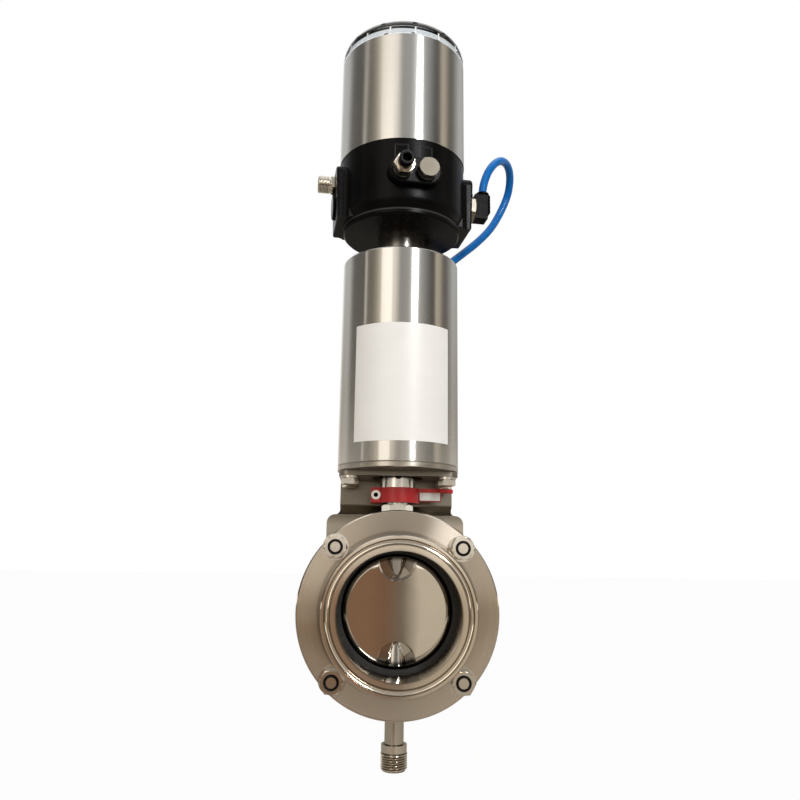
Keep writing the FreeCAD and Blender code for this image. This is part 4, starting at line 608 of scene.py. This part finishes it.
def thread_cut(path, pitch, deep, low, high):
    """How far a screw thread cuts into a turned path at angle a and height z.

    It is deep * m * (1 - cos(2 pi z / pitch - a)) / 2, where m rises from 0 to 1 within half a pitch inside
    low and high.
    """
    angle = np.linspace(0, 2 * math.pi, round_count, endpoint=False)
    z = path[:, 1:]
    run = np.clip(np.minimum(z - low, high - z) / (pitch / 2), 0, 1)
    wave = (1 - np.cos(2 * math.pi * z / pitch - angle)) / 2
    return deep * run * wave


def sheet_of(name, points, body, material, closed=False):
    """A mesh of quads over a grid of points: each joins a point to the next ones in its row and its column.
    Where it is closed, the last point of a row joins the first."""
    rows, columns = points.shape[:2]
    number = np.arange(rows * columns).reshape(rows, columns)
    down = np.roll(number, -1, axis=0)
    side = np.roll(number, -1, axis=1)
    both = np.roll(down, -1, axis=1)
    quads = np.stack([number, side, both, down], axis=-1)
    quads = quads[:rows - 1, :columns if closed else columns - 1].reshape(-1, 4)
    mesh = bpy.data.meshes.new(name)
    mesh.from_pydata(points.reshape(-1, 3).tolist(), [], quads.tolist())
    mesh.materials.append(material)
    piece = bpy.data.objects.new(name, mesh)
    bpy.context.scene.collection.objects.link(piece)
    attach(piece, body)
    smooth(piece)
    return piece


drain_path = np.concatenate([
    steps((drain_bore_r, drain_seat), (drain_bore_r, drain_end), (drain_tip_r, drain_end),
          (drain_thread_r, drain_end + drain_chamfer), spacing=coarse_step),
    steps((drain_thread_r, drain_end + drain_chamfer + 0.00001), (drain_thread_r, drain_thread_top),
          spacing=thread_step),
    steps((drain_relief_r, drain_thread_top), (drain_relief_r, drain_shoulder),
          (drain_collar_r, drain_shoulder), (drain_collar_r, drain_collar), (drain_mouth_r, drain_collar),
          (drain_tube_r, drain_collar - drain_chamfer), (drain_tube_r, drain_seat),
          (drain_bore_r, drain_seat), spacing=coarse_step)])
drain_cut = thread_cut(drain_path, drain_pitch, drain_depth, drain_end - 0.0001, drain_thread_top)
cut_thread = steel("cut_thread", "Z", (0.72, 0.66, 0.57), 0.18, marks=2500.0, depth=0.000002)
# The thread's roots are darkened with painted shade.
root_painted_shade, root_r, crest_r = (0.26, 0.22, 0.175), 0.0074, 0.0080
tree = cut_thread.node_tree
thread_radius = place_effect(cut_thread, turning, Position=object_place(cut_thread))["Radius"]
cut_base = inlet(cut_thread, "Base Color")
crest_tone = cut_base.links[0].from_socket
tree.links.new(mix(tree, ranged(tree, thread_radius, root_r, crest_r), root_painted_shade, crest_tone), cut_base)
drain_points = turned(drain_path, cut=drain_cut)
drain_piece = sheet_of("drain_end", drain_points, "housing", cut_thread, closed=True)
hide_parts("drain_fitting")

# Indicator screw: a stainless socket screw that clamps the indicator round the coupling.
# Its socket is painted dark as shade, and its rim stays bright.
screw_x, screw_z, screw_face, socket_r = -0.0144, 0.0722, -0.0090, 0.00145
# The socket is painted dark as shade.
face_skin, socket_painted_shade = 0.00005, 0.06
socket_screw = steel("socket_screw", "Y", (0.82, 0.80, 0.76), 0.20, marks=6000.0, depth=0.000001)
tree = socket_screw.node_tree
place_x, place_y, place_z = split(tree, object_place(socket_screw))
from_axis = distance(tree, maths(tree, "SUBTRACT", place_x, screw_x),
                     maths(tree, "SUBTRACT", place_z, screw_z))
beyond = maths(tree, "GREATER_THAN", from_axis, socket_r)
on_face = maths(tree, "LESS_THAN", place_y, screw_face + face_skin)
darkened(socket_screw, maths(tree, "MAXIMUM", beyond, maths(tree, "MULTIPLY", on_face, socket_painted_shade)))
finish(socket_screw, "indicator_screw")

# Nut mouths: each body nut is countersunk round the bolt's pointed end.
# A black ring of painted shade lies in the mouth. Path: radius, and place along the pipe.
bolt_offset = 0.038339
mouth_path = steps((0.00300, -0.04180), (0.0040, -0.04075), (0.00462, -0.04132))
mouth_points = turned(mouth_path, around=48)
# A black ring of painted shade in each nut's mouth.
mouth_painted_shade = plain("painted_mouth_shade", (0.006, 0.005, 0.004), 0.5)
handled(mouth_painted_shade, 500.0, (0.35, 0.6))
for number, (x, z) in enumerate(((1, 1), (-1, 1), (-1, -1), (1, -1))):
    placed = np.stack([mouth_points[..., 0] + bolt_offset * x, mouth_points[..., 2],
                       bolt_offset * z - mouth_points[..., 1]], axis=-1)
    sheet_of(f"nut_mouth_{number + 1}", placed, "housing", mouth_painted_shade, closed=True)

# Bracket: laser-cut stainless sheet, bent and bead-blasted to an even satin, bolted between body and
# actuator. Its upright web, above the feet, is darkened with painted shade and painted reflection of the
# dark under the actuator, and its feet are painted a little lighter.
web_low, web_high = 0.0540, 0.0600
foot_painted_light, web_painted_shade = 1.15, 0.62
peen_size, peen_depth = 2600.0, 0.00003
satin = plain("blasted_sheet", (0.44, 0.40, 0.34), 0.30, 1.0)
handled(satin, 30.0, (0.27, 0.36))
tree = satin.node_tree
peen = clouds(tree, object_place(satin), peen_size, detail=2.0)
tint(satin, peen, (0.38, 0.345, 0.29), (0.48, 0.44, 0.375))
raise_surface(satin, peen, peen_depth, 0.8)
high = split(tree, object_place(satin))[2]
# Painted shade on the upright web, painted light on the feet.
darkened(satin, ranged(tree, high, web_low, web_high, foot_painted_light, web_painted_shade))
finish(satin, "bracket")

# Indicator: moulded red plastic clamped round the coupling, with a white tag pushed into its end.
# The valve block in the head is moulded from the same white plastic.
red = plain("red_plastic", (0.52, 0.012, 0.016), 0.32, IOR=1.5)
handled(red, 120.0, (0.26, 0.4), ((0.46, 0.010, 0.014), (0.56, 0.015, 0.02)), grain=0.00001)
finish(red, "indicator")
white_plastic = plain("white_plastic", (0.78, 0.80, 0.78), 0.4)
handled(white_plastic, 150.0, (0.32, 0.46), ((0.74, 0.76, 0.73), (0.81, 0.83, 0.81)), grain=0.00001)
finish(white_plastic, "indicator_tag", "solenoid_valve")

# Actuator: a brushed stainless tube crimped over two machined caps. The head's shell is the same brushed
# tube. The underside of the bottom cap is darkened with painted shadow.
brushed = steel("brushed_tube", "Z", (0.68, 0.665, 0.63), 0.19, marks=9000.0, depth=0.0000015,
                anisotropic=1.0, soiled=0.02, drift=14.0)
finish(brushed, "actuator_tube", "head_shell")
cap_tone = (0.52, 0.49, 0.44)
cap_steel = steel("machined_cap", "Z", cap_tone, 0.28, marks=3000.0, depth=0.000006, anisotropic=0.5)
finish(cap_steel, "actuator_top_cap", "piston", "camshaft")
under_steel = steel("cap_underside", "Z", cap_tone, 0.24, marks=3000.0, depth=0.000006, anisotropic=0.5)
cap_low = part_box("actuator_bottom_cap")[0][2]
# The underside is darkened with painted shadow.
underside_skin, underside_painted_shade = 0.0004, 0.2
tree = under_steel.node_tree
high = split(tree, object_place(under_steel))[2]
above_underside = maths(tree, "GREATER_THAN", high, cap_low + underside_skin)
darkened(under_steel, maths(tree, "MAXIMUM", above_underside, underside_painted_shade))
finish(under_steel, "actuator_bottom_cap")

# Neck: a polished stainless tube between actuator and head, its dark colour painted shade from the head's
# base.
# A nut inside the head holds it.
# The dark colour is painted shade.
neck_steel = steel("polished_neck", "Z", (0.26, 0.24, 0.22), 0.24, marks=6000.0, depth=0.000001,
                   anisotropic=0.3, soiled=0.03)
finish(neck_steel, "neck")

# Return spring: coiled spring steel, which the piston shortens from above, so it is squashed towards its
# foot. The magnet on the position rod has the same dark finish.
spring_steel = steel("spring_steel", "Z", (0.25, 0.24, 0.23), 0.4, marks=3000.0, depth=0.000004)
finish(spring_steel, "return_spring", "magnet")
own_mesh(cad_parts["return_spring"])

# Head base: glass-filled black plastic with a fine spark-eroded grain, turned a little to the right. Its
# moulded edges carry painted highlights: the lip's upper edge, and the frames of the two bare recesses in
# front.
head_degrees = 8.0
lip_r, lip_z, lip_highlight_width = 0.0412, 0.2586, 0.0006
recess_x, recess_z, recess_half, frame_highlight_width = 0.0083, 0.2986, 0.0042, 0.0004
front_y = -0.03
painted_highlight_tone = (0.045, 0.045, 0.046)
black = plain("black_plastic", (0.0018, 0.0018, 0.002), 0.28, IOR=1.5, Specular_IOR_Level=0.09)
handled(black, 45.0, (0.24, 0.34), ((0.0014, 0.0014, 0.0016), (0.003, 0.003, 0.0032)), grain=0.00004,
        grain_size=2200.0, strength=0.9)
tree = black.node_tree
base_x, base_y, base_z = split(tree, turned_place(black, (0.0, 0.0, math.radians(-head_degrees))))
from_lip = distance(tree, maths(tree, "SUBTRACT", distance(tree, base_x, base_y), lip_r),
                    maths(tree, "SUBTRACT", base_z, lip_z))
aside = maths(tree, "ABSOLUTE", maths(tree, "SUBTRACT", maths(tree, "ABSOLUTE", base_x), recess_x))
above = maths(tree, "ABSOLUTE", maths(tree, "SUBTRACT", base_z, recess_z))
from_middle = maths(tree, "MAXIMUM", aside, above)
from_frame = maths(tree, "ABSOLUTE", maths(tree, "SUBTRACT", from_middle, recess_half))
on_lip = maths(tree, "LESS_THAN", from_lip, lip_highlight_width)
on_frame = maths(tree, "MULTIPLY", maths(tree, "LESS_THAN", from_frame, frame_highlight_width),
                 maths(tree, "LESS_THAN", base_y, front_y))
# Painted highlights on the lip's upper edge and the recess frames.
overlaid(black, maths(tree, "MAXIMUM", on_lip, on_frame), painted_highlight_tone, "MIX")
finish(black, "head_base", "vent_cover", "port_collet", "board_carrier")

# Elbows: smoother black plastic, moulded.
# Each is pressed on its stem, and has a release ring for the hose.
elbow_black = plain("elbow_black", (0.0016, 0.0016, 0.0018), 0.2, IOR=1.5, Specular_IOR_Level=0.02)
handled(elbow_black, 90.0, (0.15, 0.27), ((0.0012, 0.0012, 0.0014), (0.003, 0.003, 0.0032)), grain=0.00002)
finish(elbow_black, "elbow_body", "elbow_collet", "air_elbow")

# Light ring and cap: clear polycarbonate, moulded, set on top of the shell.
# The ring carries 16 white light ribs, each a curved strip on its outside.
clear = plain("clear_plastic", (0.93, 0.95, 0.96), 0.05, Transmission_Weight=1.0, IOR=1.5)
handled(clear, 70.0, (0.03, 0.09))
finish(clear, "light_ring", "head_cap")
rib_count, rib_r, rib_low, rib_high = 16, 0.04504, 0.3879, 0.3934
rib_half_angle = 0.013
rib_white = plain("rib_white", (0.92, 0.94, 0.95), 0.2)
handled(rib_white, 400.0, (0.15, 0.3))


def round_wall(radius, across, rise):
    """A strip of a cylinder round Z: at angle a from the front and height z it is (r sin a, -r cos a, z)."""
    angle, height = np.meshgrid(across, rise)
    return np.stack([radius * np.sin(angle), -radius * np.cos(angle), height], axis=-1)


for number in range(rib_count):
    middle = math.radians(head_degrees + 360 / rib_count * number)
    across = middle + np.array([-rib_half_angle, 0.0, rib_half_angle])
    rib_points = round_wall(rib_r, across, np.linspace(rib_low, rib_high, 4))
    sheet_of(f"light_rib_{number + 1:02d}", rib_points, "housing", rib_white)

# Circuit board: green lacquered laminate, left plain.
# It stands on its carrier inside the shell.
board = plain("board_green", (0.02, 0.16, 0.07), 0.4)
handled(board, 600.0, (0.3, 0.5), ((0.015, 0.12, 0.05), (0.03, 0.20, 0.09)), grain=0.00002)
finish(board, "circuit_board")

# Fittings: turned brass, nickel-plated, screwed into the base. The elbow's stem is turned coarsely, and
# the plug's face is brushed. The port's washers are grey.
nickel = steel("nickel_brass", "Z", (0.74, 0.68, 0.58), 0.18, marks=2500.0, depth=0.000002, soiled=0.06)
finish(nickel, "port_fitting")
stem_nickel = steel("turned_nickel", "X", (0.26, 0.235, 0.195), 0.42, marks=900.0, depth=0.00010,
                    soiled=0.08)
finish(stem_nickel, "elbow_stem")
plug_face = steel("brushed_plug", "Y", (0.145, 0.13, 0.105), 0.42, marks=1600.0, depth=0.00005, soiled=0.08)
finish(plug_face, "port_plug")
washer_grey = plain("grey_washer", (0.10, 0.10, 0.10), 0.5)
handled(washer_grey, 400.0, (0.42, 0.6), ((0.08, 0.08, 0.08), (0.12, 0.12, 0.12)), grain=0.00001)
finish(washer_grey, "port_washers")

# Round cable connector: a nickel-plated sleeve with a fine cut thread, screwed in by its hexagonal
# flange. Four contacts stand in its black insert. Paths: radius, and distance out of the head's side.
head_turn = np.array(Matrix.Rotation(math.radians(head_degrees), 3, "Z"))
connector_seat, connector_height = 0.04841, 0.291
hex_path_r, hex_flat, hex_corner = 0.0073, 0.0063, 0.0071
connector_pitch, connector_depth, thread_start, thread_end = 0.0010, 0.00022, 0.0043, 0.0114
insert_r, insert_out = 0.00488, 0.0086
pin_circle = 0.0025


def along_connector(points):
    """Turns points drawn along Z to point left out of the head, from the connector's seat."""
    local = np.stack([-points[..., 2] - connector_seat, points[..., 0], points[..., 1] + connector_height],
                     axis=-1)
    return local @ head_turn.T


def hexagon(angle, flat, limit):
    """The radius of a hexagon with half width flat at each angle, its corners turned down to a circle."""
    return np.minimum(flat / np.cos((angle + math.pi / 6) % (math.pi / 3) - math.pi / 6), limit)


thread_path = np.concatenate([
    steps((0.0050, -0.0080), (0.0050, 0.0), (0.0063, 0.0003)),
    steps((hex_path_r, 0.0004), (hex_path_r, 0.0028)),
    steps((0.0063, 0.0032), (0.0055, 0.0032), (0.0055, 0.0040), (0.0060, 0.0042)),
    steps((0.0060, thread_start), (0.0060, 0.0115), spacing=0.00012),
    steps((0.0056, 0.0120), (0.0051, 0.0120), (0.0049, 0.0117), (0.0049, 0.0084), (0.0, 0.0084))])
connector_cut = thread_cut(thread_path, connector_pitch, connector_depth, thread_start, thread_end)
connector_points = turned(thread_path, cut=connector_cut)
round_angle = np.linspace(0, 2 * math.pi, round_count, endpoint=False)
hexed = (thread_path[:, 0] > hex_path_r - 0.00005)[:, None]
ratio = np.where(hexed, hexagon(round_angle, hex_flat, hex_corner) / hex_path_r, 1.0)
connector_points = connector_points * np.stack([ratio, ratio, np.ones_like(ratio)], axis=-1)
connector_piece = sheet_of("connector_sleeve", along_connector(connector_points), "housing", nickel,
                           closed=True)
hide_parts("connector")
insert_points = turned(steps((0.0, insert_out), (insert_r, insert_out)), around=36)
sheet_of("connector_insert", along_connector(insert_points[::-1]), "housing", black,
         closed=True)
pin_points = turned(steps((0.0005, 0.0084), (0.0005, 0.0108), (0.0002, 0.0112), (0.0, 0.0112)), around=12)
for number in range(4):
    toward = math.pi / 4 + number * math.pi / 2
    placed = pin_points + np.array([pin_circle * math.cos(toward), pin_circle * math.sin(toward), 0.0])
    sheet_of(f"connector_pin_{number + 1}", along_connector(placed), "housing", nickel,
             closed=True)

# Small vent plug above the elbow: nickel-plated brass with a dished face, pressed into the side pad.
# Path: radius, and distance out of the head's side.
vent_seat, vent_height = 0.0487, 0.2935
vent_path = steps((0.0031, 0.0), (0.0031, 0.0032), (0.0026, 0.0040), (0.0013, 0.0040), (0.0010, 0.0034),
                  (0.0, 0.0034), spacing=coarse_step)
vent_points = turned(vent_path, around=36)
vent_local = np.stack([vent_points[..., 2] + vent_seat, -vent_points[..., 0],
                       vent_points[..., 1] + vent_height], axis=-1)
sheet_of("side_vent_plug", vent_local @ head_turn.T, "housing", nickel, closed=True)

# Label: a bare white paper sticker, wrapped round the front of the actuator.
# It lies 0.1 mm off the tube, and its middle is a little to the right.
label_r, label_low, label_high = 0.0401, 0.1035, 0.1800
label_half, label_turn = math.radians(48.5), math.radians(1.5)
label_columns, label_rows = 97, 41
label_points = round_wall(label_r, np.linspace(-label_half, label_half, label_columns) + label_turn,
                          np.linspace(label_low, label_high, label_rows))
paper = plain("label_paper", (0.92, 0.92, 0.91), 0.35)
handled(paper, 60.0, (0.3, 0.42), ((0.90, 0.90, 0.89), (0.94, 0.94, 0.93)), grain=0.000005)
sheet_of("actuator_label", label_points, "housing", paper)
